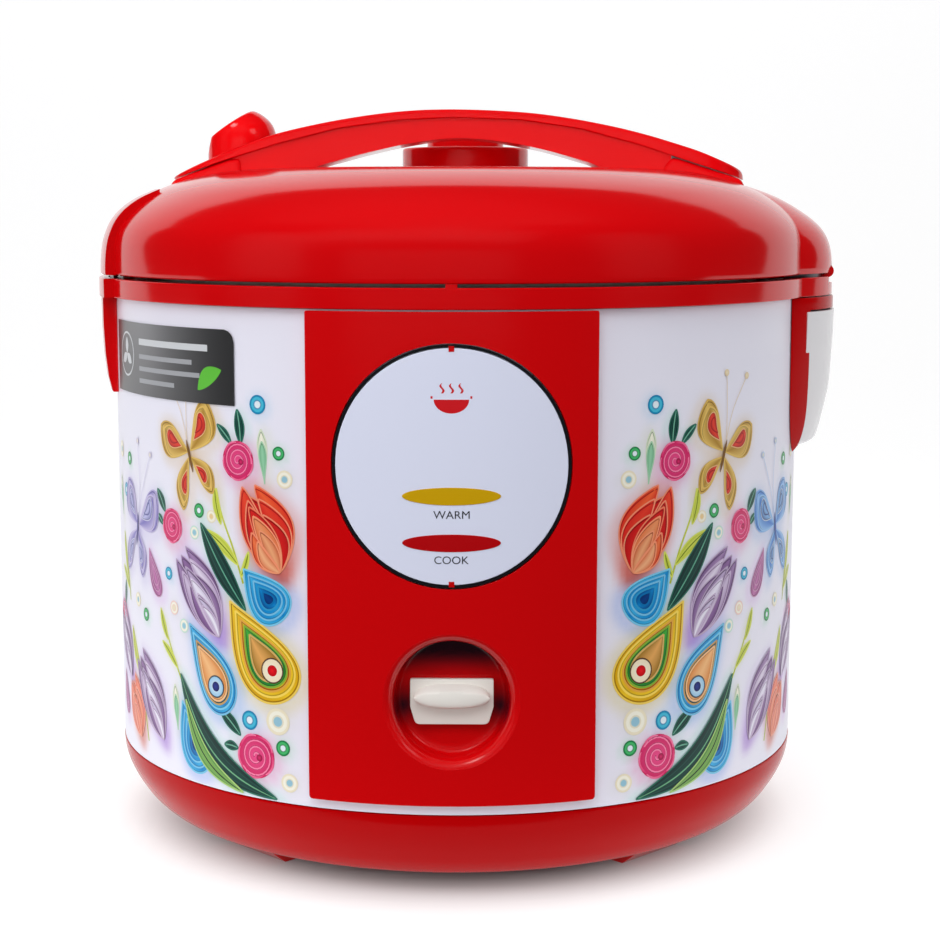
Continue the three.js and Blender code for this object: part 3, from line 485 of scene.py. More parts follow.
cb = turned("dew_cup_back", [(128.0, 142.2), (129.4, 142.2), (129.4, 191.4), (128.0, 191.4)], "milky_plastic", "dew_cup", seg=32, a0=-0.255, a1=0.255)
for i, y in enumerate((-35.4, 33.9)):
    s = turned("dew_cup_side_%d" % (i + 1), [(28, 142.2), (47.2, 142.2), *cup_out, (28, 191.4)], "milky_plastic", "dew_cup", seg=72, at=(HUMP, 0), a0=-1.1, a1=1.1)
    carve(s, cut_rod("z", 127.95, 100, 250, (0, 0), 240), cut_box(60, 160, y, y + 1.5, 100, 250) if False else cut_box(60, 160, y + 1.5, 200, 100, 250), cut_box(60, 160, -200, y, 100, 250))
base = turned("base_bowl", [*fillet([(76, 5.5), (104.8, 5.5)], 0), *spline([(106.4, 5.7), (111, 7.2), (115.4, 9.2), (119.6, 13.0), (122.8, 17.4), (125.0, 21.2), (126.6, 25), (127.4, 28.4), (127.7, 31.6)], 6), (127.6, 32.0), (126.1, 32.1), (126.1, 38), (123.8, 38), (123.8, 27.6), (118.4, 17), (112.8, 11.4), (105.8, 8.2), (76, 8.2)], "base_red_painted_shade", "cooker_body", ["base_pan"], slot="red_gloss_plastic", seg=192)
for name, az in (("foot_front_left", 225), ("foot_front_right", 315), ("foot_rear_right", 45), ("foot_rear_left", 135)):
    f = prism(name + "_pad", fillet([(91, 0), (98.6, 0), (105.2, 5.2), (91, 5.2)], [0, 1.2, 0, 0], 3), -14.9, 14.9, "red_gloss_plastic", "cooker_body", "y", bevel=0.35)
    f.data.transform(Matrix.Rotation(math.radians(az), 4, "Z"))
    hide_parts(name)


# ------------------------------------------------------------------ control panel, wrapped round the sleeve
def wrap(u, v, w, R=130.5):
    a = u / R
    return ((R + w) * math.sin(a), -(R + w) * math.cos(a), v)


def wrap_object(o, R=130.5):
    for v in o.data.vertices:
        u, h, w = v.co.x / MM, v.co.z / MM, -v.co.y / MM
        x, y, z = wrap(u, h, w, R)
        v.co = (x * MM, y * MM, z * MM)
    o.data.update()


def split_x(o, xs):
    bm = bmesh.new()
    bm.from_mesh(o.data)
    for x in xs:
        bmesh.ops.bisect_plane(bm, geom=bm.verts[:] + bm.edges[:] + bm.faces[:], plane_co=(x * MM, 0, 0), plane_no=(1, 0, 0))
    bmesh.ops.triangulate(bm, faces=[f for f in bm.faces if len(f.verts) > 4])
    bm.to_mesh(o.data)
    bm.free()


def flat_plate(name, outline, w0, w1, mat, bevel=0.4, replaces=(), slot=None, holes=(), R=130.5, step=3.0, body="cooker_body", sharp=40, segs=3):
    """outline in (u, z); w0 to w1 is the depth from the panel's face, outward positive."""
    o = prism(name, outline, -w1, -w0, mat, body, "y", replaces, slot, bevel=0, sharp=sharp)
    if holes:
        carve(o, *[cut_rod("y", r, -50, 50, c, 96) for c, r in holes])
    if bevel:
        bm = bmesh.new()
        bm.from_mesh(o.data)
        bmesh.ops.dissolve_limit(bm, angle_limit=0.001, verts=bm.verts, edges=bm.edges)
        bmesh.ops.recalc_face_normals(bm, faces=bm.faces)
        front = min(v.co.y for v in bm.verts)
        edges = [e for e in bm.edges if len(e.link_faces) == 2 and e.calc_face_angle(0) > 1.2 and all(abs(v.co.y - front) < 1e-6 for v in e.verts)]
        bmesh.ops.bevel(bm, geom=edges, offset=bevel * MM, segments=segs, profile=0.5, affect="EDGES", clamp_overlap=True)
        bm.to_mesh(o.data)
        bm.free()
    us = [p[0] for p in outline]
    n = int((max(us) - min(us)) / step)
    split_x(o, [min(us) + (i + 1) * (max(us) - min(us)) / (n + 1) for i in range(n)])
    wrap_object(o, R)
    o.data.polygons.foreach_set("use_smooth", [True] * len(o.data.polygons))
    o.data.set_sharp_from_angle(angle=math.radians(sharp))
    return o


def ring_pts(cx, cz, rx, rz=None, n=96):
    return [(cx + rx * math.cos(TAU * i / n), cz + (rz or rx) * math.sin(TAU * i / n)) for i in range(n)]


outline = fillet([(-48.0, 36.2), (48.0, 36.2), (48.0, 196.2), (-48.0, 196.2)], [1.4, 1.4, 0.8, 0.8], 4)
flat_plate("panel_plate", outline, -2.55, 0.0, "panel_red_painted_shade", 1.1, ["control_panel"], "red_gloss_plastic", holes=[((0, 147), 39.3), ((0, 70.7), 22.3)], segs=4)


# The panel's darker red, a painted shade, also the base colour of the recess cup.
SHADED_PANEL_RED = (0.56, 0.0005, 0.0018)
# The recess cup's corner colours, held in its ink attribute, are painted shade.
MAT["recess_red_painted_shade"] = material("recess_red_painted_shade", (*SHADED_PANEL_RED, 1), rough=0.2, attribute="ink")


def step(a, b, x):
    t = min(1.0, max(0.0, (x - a) / (b - a)))
    return t * t * (3 - 2 * t)


# Painted shade: the cup's red falls to near black in its upper crescent and in two blobs at its lower left and right,
# where the recess is in shadow.
def recess():
    prof = [(22.45, -0.02), (22.0, -0.12), (21.4, -0.4), (20.7, -0.95), (20.1, -1.75), (19.7, -2.8), (19.5, -4.2), (19.5, -6.0), (19.6, -8.2), (19.0, -9.4), (17.8, -9.9), (16.0, -9.95), (14.0, -9.95), (12.0, -9.95), (9.0, -9.95), (6.0, -9.95), (3.0, -9.95), (0.01, -9.95), (0.01, -11.2), (22.8, -11.2), (22.8, -2.7), (22.45, -2.6)]
    n, seg = len(prof), 96
    v, f, c = [], [], []
    for i in range(seg):
        a = TAU * i / seg
        for k, (r, w) in enumerate(prof):
            x, z = r * math.cos(a), r * math.sin(a)
            v.append(wrap(x, 70.7 + z, w))
            # deep, top and side are masks of painted shade, and shade is the painted darkening they give.
            deep = step(1.2, 5.0, -w)
            top = step(6.0, 15.0, z) * deep
            side = math.exp(-(((abs(x) - 17.0) / 4.2) ** 2) - (((z + 3.4) / 5.2) ** 2)) * deep
            shade = (1 - 0.97 * top) * (1 - 0.97 * side)
            c.append((SHADED_PANEL_RED[0] * shade + 0.006 * (1 - shade), SHADED_PANEL_RED[1] + 0.002 * (1 - shade), SHADED_PANEL_RED[2] + 0.006 * (1 - shade), 1.0))
    for i in range(seg):
        j = (i + 1) % seg
        for k in range(n):
            l = (k + 1) % n
            f.append((i * n + k, j * n + k, j * n + l, i * n + l))
    return v, f, c


rv, rf, recess_shade_cols = recess()
rc = make("lever_recess_cup", rv, rf, "recess_red_painted_shade", "cooker_body", (), "red_gloss_plastic", 60, recess_shade_cols)
bm = bmesh.new()
bm.from_mesh(rc.data)
bmesh.ops.recalc_face_normals(bm, faces=bm.faces)
bm.to_mesh(rc.data)
bm.free()
carve(rc, cut_box(-6.6, 6.6, -124, -112, 62.4, 76.0), sharp=60)
# The painted shade is copied onto the corners the cut made, from the nearest old corner.
tone = rc.data.color_attributes[0]
near = np.array(rv)
for n_ in range(len(tone.data)):
    p_ = rc.data.vertices[n_ if tone.domain == "POINT" else rc.data.loops[n_].vertex_index].co
    d_ = ((near - np.array([c / MM for c in p_])) ** 2).sum(1)
    tone.data[n_].color = recess_shade_cols[int(d_.argmin())]
flat_plate("disc_face", ring_pts(0, 147, 37.9), -2.4, -0.15, "disc_white", 0.3, ["panel_disc"], segs=2)
flat_plate("disc_ring", ring_pts(0, 147, 38.95), -2.4, -0.05, "dark_trim", 0.2, ["disc_trim_ring"], holes=[((0, 147), 38.15)], segs=2)
flat_plate("lens_warm", ring_pts(0, 137.75, 15.8, 2.85), -0.3, 0.02, "lens_amber", 0.12, ["lamp_lens_warm"])
flat_plate("lens_cook", ring_pts(0, 122.7, 15.8, 2.85), -0.3, 0.02, "lens_red", 0.12, ["lamp_lens_cook"])
for i, z in enumerate((184.6, 109.4)):
    flat_plate("disc_notch_%d" % (i + 1), [(-0.9, z - 0.9), (0.9, z - 0.9), (0.9, z + 0.9), (-0.9, z + 0.9)], -0.2, -0.02, "panel_red_painted_shade", 0, (), "red_gloss_plastic")


def text(name, words, cx, z0, height, width, mat, w=-0.1):
    c = bpy.data.curves.new(name, "FONT")
    c.body = words
    c.align_x = "CENTER"
    c.size = 10
    c.extrude = 0.0
    c.resolution_u = 6
    t = bpy.data.objects.new(name, c)
    bpy.context.scene.collection.objects.link(t)
    dg = bpy.context.evaluated_depsgraph_get()
    me = bpy.data.meshes.new_from_object(t.evaluated_get(dg))
    bpy.data.objects.remove(t)
    xs, ys = [v.co.x for v in me.vertices], [v.co.y for v in me.vertices]
    for v in me.vertices:
        u = cx + ((v.co.x - min(xs)) / (max(xs) - min(xs)) - 0.5) * width
        h = z0 + (v.co.y - min(ys)) / (max(ys) - min(ys)) * height
        v.co = [q * MM for q in wrap(u, h, w)]
    me.materials.clear()
    me.materials.append(MAT[mat])
    o = bpy.data.objects.new(name, me)
    bpy.context.scene.collection.objects.link(o)
    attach(o, "cooker_body")
    return o


text("label_warm", "WARM", 0, 130.6, 2.5, 11.6, "label_dark")
text("label_cook", "COOK", 0, 116.0, 2.5, 11.0, "label_dark")


# ------------------------------------------------------------------ cook lever
lp = prism("lever_plate", fillet([(-11.9, 61.6), (11.9, 61.6), (13.6, 67.5), (13.6, 76.7), (-13.6, 76.7), (-13.6, 67.5)], [2.0, 2.0, 0.8, 0.6, 0.6, 0.8], 4), -123.1, -121.2, "ivory_plastic", "lever", "y", ["cook_lever"], bevel=0.45)


def tab():
    """A lens-shaped front face, with a top that slopes up to the plate behind it."""
    nx, ns = 44, 30
    v, f = [], []
    for i in range(nx + 1):
        t = math.sin((-1 + 2 * i / nx) * math.pi / 2)
        x = 12.3 * t
        lens = max(0.02, 1 - abs(t) ** 3.0) ** 0.5
        front = -128.2 + 1.9 * t * t
        zt, zb = 70.9 + 2.75 * lens, 70.9 - 2.95 * lens
        h = zt - zb
        sec = [(-122.4, zb + 0.5 * lens), (front + 1.1, zb), (front + 0.45, zb + 0.10 * h), (front + 0.08, zb + 0.3 * h), (front, zb + 0.55 * h), (front + 0.05, zb + 0.85 * h), (front + 0.3, zt), (-124.4, 70.9 + 4.2 * lens), (-122.4, 70.9 + 4.4 * lens)]
        for y, z in sec:
            v.append((x, y, z))
    n = len(sec)
    for i in range(nx):
        for k in range(n):
            l = (k + 1) % n
            f.append((i * n + k, (i + 1) * n + k, (i + 1) * n + l, i * n + l))
    f.append(tuple(range(n)))
    f.append(tuple(nx * n + k for k in range(n)))
    return v, f


outward(make("lever_tab", *tab(), "ivory_plastic", "lever", (), "ivory_plastic", 50))
block("lever_stem", -6, 6, -121.4, -114.5, 69, 75, "ivory_plastic", "lever", 0.3)
block("lever_arm", -6, 6, -116.3, -114.6, 36.4, 75, "ivory_plastic", "lever", 0.3)
lb = block("lever_beam", -6, 6, -116.2, 4, 36.4, 39.6, "ivory_plastic", "lever", 0.3)
lhub = prism("lever_hub", [(-60 + 3.4 * math.cos(TAU * i / 32), 38 + 3.4 * math.sin(TAU * i / 32)) for i in range(32)], -6, 6, "ivory_plastic", "lever", "x", bevel=0.3)
carve(lb, cut_rod("x", 1.8, -20, 20, (-60, 38), 24))
carve(lhub, cut_rod("x", 1.8, -20, 20, (-60, 38), 24))


for o in list(bpy.context.scene.objects):
    if o.type == "MESH" and o.name not in NODES and not o.name.startswith("label_"):
        weighted(o)

# ------------------------------------------------------------------ printed sleeve
SR = 127.5
SLEEVE_WHITE = (0.84, 0.83, 0.93, 1)
OFFSET = 1.6


def mix(a, b, t):
    return tuple(a[i] + (b[i] - a[i]) * t for i in range(3)) + (1.0,)


class Ink:
    """Print gathered in one mesh: flat pieces a little above the sleeve, coloured by the corner."""

    def __init__(self):
        self.v, self.f, self.c = [], [], []
        self.level = 0.0

    def add(self, pts, faces, cols):
        n = len(self.v)
        self.v += [wrap(u, z, self.level, SR) for u, z in pts]
        self.c += cols
        self.f += [tuple(n + i for i in face) for face in faces]
        self.level += 0.002


FINE = Ink()
GLOWS = []


def glow(pts, color, dist, strength, off=(0.0, 0.0)):
    GLOWS.append(([(p[0] + off[0], p[1] + off[1]) for p in pts], color, dist, strength))


def ribbon(pts, width, color, color2=None, taper=0.0):
    """A paper strip seen on its edge, along a curve. taper is the share of its width lost at the ends."""
    n = len(pts)
    vs, cs, fs = [], [], []
    for i, p in enumerate(pts):
        a, b = pts[max(0, i - 1)], pts[min(n - 1, i + 1)]
        dx, dz = b[0] - a[0], b[1] - a[1]
        l = math.hypot(dx, dz) or 1
        t = i / (n - 1)
        h = width / 2 * (1 - taper * (1 - min(1, 4 * t, 4 * (1 - t))))
        vs += [(p[0] - dz / l * h, p[1] + dx / l * h), (p[0] + dz / l * h, p[1] - dx / l * h)]
        c = color if color2 is None else mix(color, color2, t)
        cs += [c, c]
    for i in range(n - 1):
        fs.append((2 * i, 2 * i + 1, 2 * i + 3, 2 * i + 2))
    FINE.add(vs, fs, cs)


def disc(u, z, r, edge, core=None, n=22, squash=1.0):
    pts, cols = [(u, z)], [core or edge]
    for i in range(n):
        a = TAU * i / n
        pts.append((u + r * math.cos(a), z + r * squash * math.sin(a)))
        cols.append(edge)
    FINE.add(pts, [(0, 1 + i, 1 + (i + 1) % n) for i in range(n)], cols)


def leaf_outline(a, b, fat, bend=0.0, n=20, power=0.8, peak=0.5):
    """A petal pointed at both ends, from a to b. fat is half its width, bend bows its spine, peak is where it is widest."""
    dx, dz = b[0] - a[0], b[1] - a[1]
    L = math.hypot(dx, dz)
    ux, uz = dx / L, dz / L
    left, right = [], []
    e = math.log(0.5) / math.log(peak)
    for i in range(n + 1):
        t = i / n
        s = math.sin(math.pi * t ** e) ** power
        q = math.sin(math.pi * t) * bend
        cx, cz = a[0] + dx * t - uz * q, a[1] + dz * t + ux * q
        left.append((cx - uz * fat * s, cz + ux * fat * s))
        right.append((cx + uz * fat * s, cz - ux * fat * s))
    return left, right


def drop_outline(a, b, fat, bend=0.0, n=30):
    """A teardrop, pointed at a and round at b."""
    dx, dz = b[0] - a[0], b[1] - a[1]
    L = math.hypot(dx, dz)
    ux, uz = dx / L, dz / L
    left, right = [], []
    for i in range(n + 1):
        t = 1 - (1 - i / n) ** 2 if i > n * 0.5 else (i / n) * 1.5
        t = min(1.0, t)
        s = 2.70 * math.sqrt(max(0.0, 1 - t)) * t ** 1.1
        q = math.sin(math.pi * t) * bend
        cx, cz = a[0] + dx * t - uz * q, a[1] + dz * t + ux * q
        left.append((cx - uz * fat * s, cz + ux * fat * s))
        right.append((cx + uz * fat * s, cz - ux * fat * s))
    return left, right


def scaled(l, r, c, k):
    return [(c[0] + (p[0] - c[0]) * k, c[1] + (p[1] - c[1]) * k) for p in l], [(c[0] + (p[0] - c[0]) * k, c[1] + (p[1] - c[1]) * k) for p in r]


def fill(left, right, edge, inner):
    vs, cs, fs = [], [], []
    half = mix(edge, inner, 0.6)
    for l, r in zip(left, right):
        for t, c in ((0, edge), (0.25, half), (0.5, inner), (0.75, half), (1, edge)):
            vs.append((l[0] + (r[0] - l[0]) * t, l[1] + (r[1] - l[1]) * t))
            cs.append(c)
    for i in range(len(left) - 1):
        for k in range(4):
            fs.append((5 * i + k, 5 * i + k + 1, 5 * i + k + 6, 5 * i + k + 5))
    FINE.add(vs, fs, cs)


def quill(outline, focus, layers, base=0.12, ew=0.8, halo=None, dist=3.2, strength=0.75, off=(0, 0)):
    """Nested strips of paper. Each layer is (scale about the focus, colour at its edge, colour inside, colour of the strip)."""
    l, r = outline
    FINE.level = base
    if halo:
        glow(l + r, halo, dist, strength, off)
    for k, edge, inner, strip in layers:
        L, R = scaled(l, r, focus, k)
        fill(L, R, edge, inner)
        dark = mix(edge, (0, 0, 0, 1), 0.45)
        L2, R2 = scaled(L, R, focus, 0.955)
        ribbon(L2, ew * 0.55, dark)
        ribbon(R2, ew * 0.55, dark)
        ribbon(L, ew * 0.85, mix(strip, edge, 0.3))
        ribbon(R, ew * 0.85, mix(strip, edge, 0.3))


def point(a, b, t):
    return (a[0] + (b[0] - a[0]) * t, a[1] + (b[1] - a[1]) * t)


def leafy(a, b, fat, bend, edge, inner, strip, vein, base=0.12, halo=None, dist=2.2, off=(0, 0), n=20):
    l, r = leaf_outline(a, b, fat, bend, n)
    FINE.level = base
    if halo:
        glow(l + r, halo, dist, 0.7, off)
    fill(l, r, edge, inner)
    mid = [((p[0] + q[0]) / 2, (p[1] + q[1]) / 2) for p, q in zip(l, r)]
    for k in (-0.5, 0.5):
        ribbon([(m[0] + (p[0] - m[0]) * k, m[1] + (p[1] - m[1]) * k) for m, p in zip(mid, l)], 0.3, mix(edge, strip, 0.45))
    ribbon(mid, 0.5, vein, taper=0.6)
    ribbon(l, 0.55, strip)
    ribbon(r, 0.55, strip)


def rose(u, z, r, spin, m, off):
    pink, pale, deep = rgb(222, 40, 108), rgb(246, 132, 172), rgb(146, 10, 60)
    FINE.level = 0.16
    glow([(u + r * 0.9 * math.cos(a * 0.5), z + r * 0.9 * math.sin(a * 0.5)) for a in range(13)], rgb(196, 60, 130), 3.4, 0.75, off)
    disc(u, z, r, rgb(206, 26, 92), rgb(238, 78, 140), 30)
    for k in range(5):
        a = spin + TAU * k / 5
        pts = [(u + r * (0.93 + 0.05 * math.sin(j * 0.5)) * math.cos(a + j * 0.15), z + r * (0.93 + 0.05 * math.sin(j * 0.5)) * math.sin(a + j * 0.15)) for j in range(9)]
        ribbon(pts, r * 0.10, pale, pink, 0.6)
    for turn, c, w, s in ((0.0, deep, 0.075, 1.0), (0.35, pale, 0.07, 1.0)):
        N = 64
        pts = []
        for i in range(N + 1):
            t = i / N
            a = m * (spin + turn + TAU * 2.9 * t)
            rr = r * (0.08 + 0.82 * t)
            pts.append((u + rr * math.cos(a) * 0.98, z + rr * math.sin(a)))
        ribbon(pts, r * w, c)
    disc(u + 0.2 * r, z - 0.05 * r, r * 0.16, deep, pink, 14)


def ring(u, z, r, edge, band, core, off):
    FINE.level = 0.14
    glow([(u + r * 0.8 * math.cos(a * 0.7), z + r * 0.8 * math.sin(a * 0.7)) for a in range(9)], mix(band, (1, 1, 1, 1), 0.15), r * 0.75, 0.6, (off[0] * 0.5, off[1] * 0.5))
    disc(u, z, r, edge, band)
    disc(u, z, r * 0.78, band, band)
    disc(u, z, r * 0.50, edge, core)
    disc(u, z, r * 0.36, core, core)


CREAM, PALE, CORE = rgb(236, 226, 196), rgb(246, 243, 226), rgb(150, 196, 214)
TEAL, TEAL2, SKYC = rgb(0, 128, 176), rgb(70, 186, 214), rgb(226, 238, 244)
GRN, GRN2 = rgb(14, 122, 66), rgb(70, 184, 106)


def garden(m):
    """The flowers on one side of the panel. m is +1 for the right side and -1 for its mirror image."""
    off = (-1.3 * m, -1.0)

    def P(u, z):
        return (m * u + OFFSET, z)

    # sprays of thin leaves
    lime, lime2, mist = rgb(176, 190, 40), rgb(214, 222, 96), rgb(196, 214, 180)
    for stem, leaves in [
        ([(75, 105), (79, 116), (84, 127), (86.5, 136)], [((84.5, 124), (87.2, 136), 1.5, -0.6), ((77, 111), (92, 121.5), 1.9, 0.9), ((76, 107), (72.5, 116), 1.0, 0.4)]),
        ([(106, 66), (111, 74), (116, 83), (119.5, 90)], [((115, 80), (119.7, 90.5), 1.3, -0.4), ((109, 71), (119, 79), 1.3, 0.6)]),
        ([(132, 40), (136, 54), (141, 68), (147, 78)], [((139, 62), (148, 79), 1.7, -1.0), ((134, 50), (146, 60), 1.6, 0.8)]),
        ([(150, 88), (153, 100), (158, 112)], [((152, 96), (158.5, 112), 1.6, -0.8), ((151, 92), (162, 99), 1.5, 0.7)]),
    ]:
        FINE.level = 0.08
        ribbon(spline([P(*p) for p in stem], 7), 0.75, lime, lime2)
        for a, b, fat, bend in leaves:
            leafy(P(*a), P(*b), fat, bend * m, lime, lime2, lime2, rgb(120, 140, 20), 0.1, mix(lime2, (1, 1, 1, 1), 0.3), 1.6, off)
    for a, b, fat in [((65.5, 139), (66.8, 157), 1.9), ((109.5, 49), (111, 65), 1.7), ((160, 118), (163, 132), 1.8)]:
        l, r = leaf_outline(P(*a), P(*b), fat, 0, 18, 0.9, 0.66)
        quill((l, r), P(*a), [(1, mist, PALE, rgb(224, 232, 208)), (0.78, rgb(96, 170, 124), rgb(150, 206, 168), rgb(186, 222, 190))], 0.1, 0.55, rgb(214, 220, 176), 2.4, 0.6, off)
    # dark leaves
    dark, dark2, edge = rgb(4, 36, 36), rgb(12, 64, 56), rgb(40, 110, 92)
    leafy(P(74, 96), P(94.5, 123.5), 3.7, -0.8 * m, dark, dark2, edge, rgb(96, 168, 140), 0.12, rgb(110, 178, 150), 2.6, off)
    leafy(P(62, 33.2), P(107, 69.5), 4.6, -8.4 * m, dark, dark2, edge, rgb(110, 176, 130), 0.30, rgb(110, 178, 150), 2.8, off, 28)
    leafy(P(76, 33.4), P(104, 61), 2.6, -6.0 * m, rgb(60, 130, 60), rgb(130, 178, 84), rgb(170, 206, 120), dark, 0.36, None, n=24)
    # warm tulip
    B = P(60, 110)
    red, org, lite = rgb(214, 30, 28), rgb(238, 96, 52), rgb(252, 168, 128)
    for i, (tip, fat, bend, cols) in enumerate([
        ((72.2, 134.5), 6.4, 1.2, [(1, rgb(176, 14, 20), red, lite)]),
        ((69.5, 138.5), 5.4, 4.8, [(1, red, org, lite), (0.84, red, rgb(226, 60, 40), lite), (0.66, rgb(180, 14, 20), red, lite)]),
        ((74.8, 137.5), 5.0, -2.6, [(1, red, rgb(232, 70, 44), lite), (0.84, rgb(190, 16, 22), red, lite), (0.64, org, rgb(236, 140, 90), lite)]),
        ((72.0, 131.0), 4.0, 1.2, [(1, rgb(200, 24, 24), red, rgb(250, 150, 112)), (0.86, rgb(226, 110, 62), rgb(232, 150, 100), lite), (0.64, rgb(200, 84, 44), rgb(236, 166, 118), lite)]),
        ((71.0, 122.5), 2.9, -2.2, [(1, rgb(210, 40, 26), rgb(236, 120, 70), lite), (0.78, rgb(216, 96, 52), rgb(240, 176, 130), lite)]),
    ]):
        quill(leaf_outline(B, P(*tip), fat, bend * m, 22, 0.75, 0.46), B, cols, 0.12 + 0.05 * i, 0.62, rgb(240, 130, 90), 3.6, 0.8, off)
    # violet tulips
    for b0, s, wash in [((86, 85.5), 1.0, rgb(176, 150, 196)), ((119, 43.5), 1.02, rgb(190, 168, 204)), ((150, 60), 0.9, rgb(190, 168, 204))]:
        vio, vio2, pal = rgb(98, 60, 116), rgb(160, 128, 176), rgb(214, 196, 222)
        B = P(*b0)
        for i, (tip, fat, bend, cols) in enumerate([
            ((19.6, 25.6), 4.9, 1.0, [(1, vio, rgb(140, 100, 156), pal)]),
            ((17, 29), 4.4, 4.2, [(1, vio, vio2, pal), (0.86, vio2, rgb(226, 216, 234), pal), (0.70, vio, vio2, pal)]),
            ((22.5, 24), 4.2, -1.8, [(1, vio, vio2, pal), (0.84, vio2, rgb(206, 190, 216), pal), (0.66, vio, rgb(140, 100, 156), pal)]),
            ((17.0, 22), 3.4, 1.4, [(1, vio, rgb(190, 170, 206), pal), (0.84, rgb(200, 186, 214), rgb(234, 230, 244), pal), (0.62, vio2, rgb(222, 212, 232), pal)]),
            ((10.5, 12.5), 1.9, 1.6, [(1, vio, rgb(210, 200, 226), pal), (0.78, vio2, rgb(240, 238, 248), pal)]),
        ]):
            quill(leaf_outline(B, P(b0[0] + tip[0] * s, b0[1] + tip[1] * s), fat * s, bend * s * m, 20, 0.75, 0.46), B, cols, 0.12 + 0.05 * i, 0.5, wash, 3.2, 0.7, off)
    # orange tulip cut by the base
    B = P(139, 40)
    for i, (tip, fat, bend) in enumerate([((148.6, 58.5), 4.8, 0.8), ((146, 62), 4.2, 3.4), ((151, 58), 4.0, -2.2), ((148, 54), 3.0, 0.8)]):
        quill(leaf_outline(B, P(*tip), fat, bend * m, 20, 0.75, 0.46), B, [(1, rgb(220, 70, 60), rgb(240, 130, 96), rgb(252, 190, 160)), (0.78, rgb(206, 50, 50), rgb(240, 150, 116), rgb(252, 190, 160))], 0.12 + 0.05 * i, 0.6, rgb(246, 160, 130), 3.0, 0.7, off)
    # teardrops
    navy, blue, sky, lsky = rgb(0, 60, 130), rgb(0, 130, 200), rgb(60, 176, 226), rgb(140, 212, 238)
    for a, b, fat, base in [((74.8, 110), (58, 95.5), 8.0, 0.14), ((106.5, 60), (95, 36.8), 7.0, 0.16)]:
        focus = point(P(*a), P(*b), 0.62)
        quill(drop_outline(P(*a), P(*b), fat, 1.2 * m), focus, [(1, sky, blue, lsky), (0.80, blue, sky, lsky), (0.60, blue, rgb(30, 150, 210), lsky), (0.42, navy, blue, sky), (0.24, rgb(0, 36, 96), navy, blue)], base, 0.75, rgb(90, 150, 220), 3.4, 0.8, off)
    a, b = P(81, 98.5), P(56.5, 68.5)
    focus = point(a, b, 0.64)
    gold, gold2, lgold = rgb(214, 160, 10), rgb(240, 200, 40), rgb(250, 224, 110)
    quill(drop_outline(a, b, 11.2, 1.8 * m), focus, [(1, gold, gold2, lgold), (0.84, gold2, rgb(226, 176, 30), lgold), (0.70, rgb(190, 90, 20), rgb(214, 190, 40), rgb(240, 190, 80)), (0.60, rgb(20, 110, 50), rgb(70, 176, 60), rgb(150, 200, 60)), (0.46, rgb(150, 110, 30), rgb(228, 168, 92), rgb(236, 196, 120))], 0.14, 0.85, rgb(206, 190, 80), 3.8, 0.85, off)
    cu, cz = point(a, b, 0.72)
    FINE.level = 0.3
    disc(cu, cz, 4.4, rgb(70, 30, 16), rgb(240, 220, 190))
    disc(cu, cz, 3.9, rgb(240, 226, 190), rgb(250, 244, 226))
    disc(cu, cz, 1.9, rgb(190, 0, 16), rgb(236, 20, 30))
    a, b = P(101.5, 88), P(82.5, 60)
    focus = point(a, b, 0.64)
    quill(drop_outline(a, b, 8.6, -1.2 * m), focus, [(1, blue, sky, lsky), (0.84, sky, blue, lsky), (0.70, rgb(40, 60, 50), rgb(60, 110, 130), rgb(226, 180, 110)), (0.60, rgb(220, 130, 50), rgb(244, 190, 130), rgb(250, 210, 160))], 0.14, 0.8, rgb(100, 170, 220), 3.4, 0.85, off)
    cu, cz = point(a, b, 0.71)
    FINE.level = 0.3
    disc(cu, cz, 3.9, rgb(20, 50, 70), rgb(200, 220, 236))
    disc(cu, cz, 3.4, rgb(150, 200, 230), rgb(226, 238, 246))
    disc(cu, cz, 1.7, rgb(14, 20, 90), rgb(30, 50, 140))
    for a, b, fat, c in [((128, 110.5), (120, 94.5), 3.8, (rgb(140, 56, 120), rgb(196, 120, 176), rgb(222, 170, 206))), ((163, 60), (158, 44), 4.0, (rgb(140, 56, 120), rgb(196, 120, 176), rgb(222, 170, 206)))]:
        quill(drop_outline(P(*a), P(*b), fat, 0.6 * m), point(P(*a), P(*b), 0.6), [(1, *c), (0.72, *c), (0.42, *c)], 0.14, 0.5, rgb(206, 160, 206), 2.6, 0.7, off)
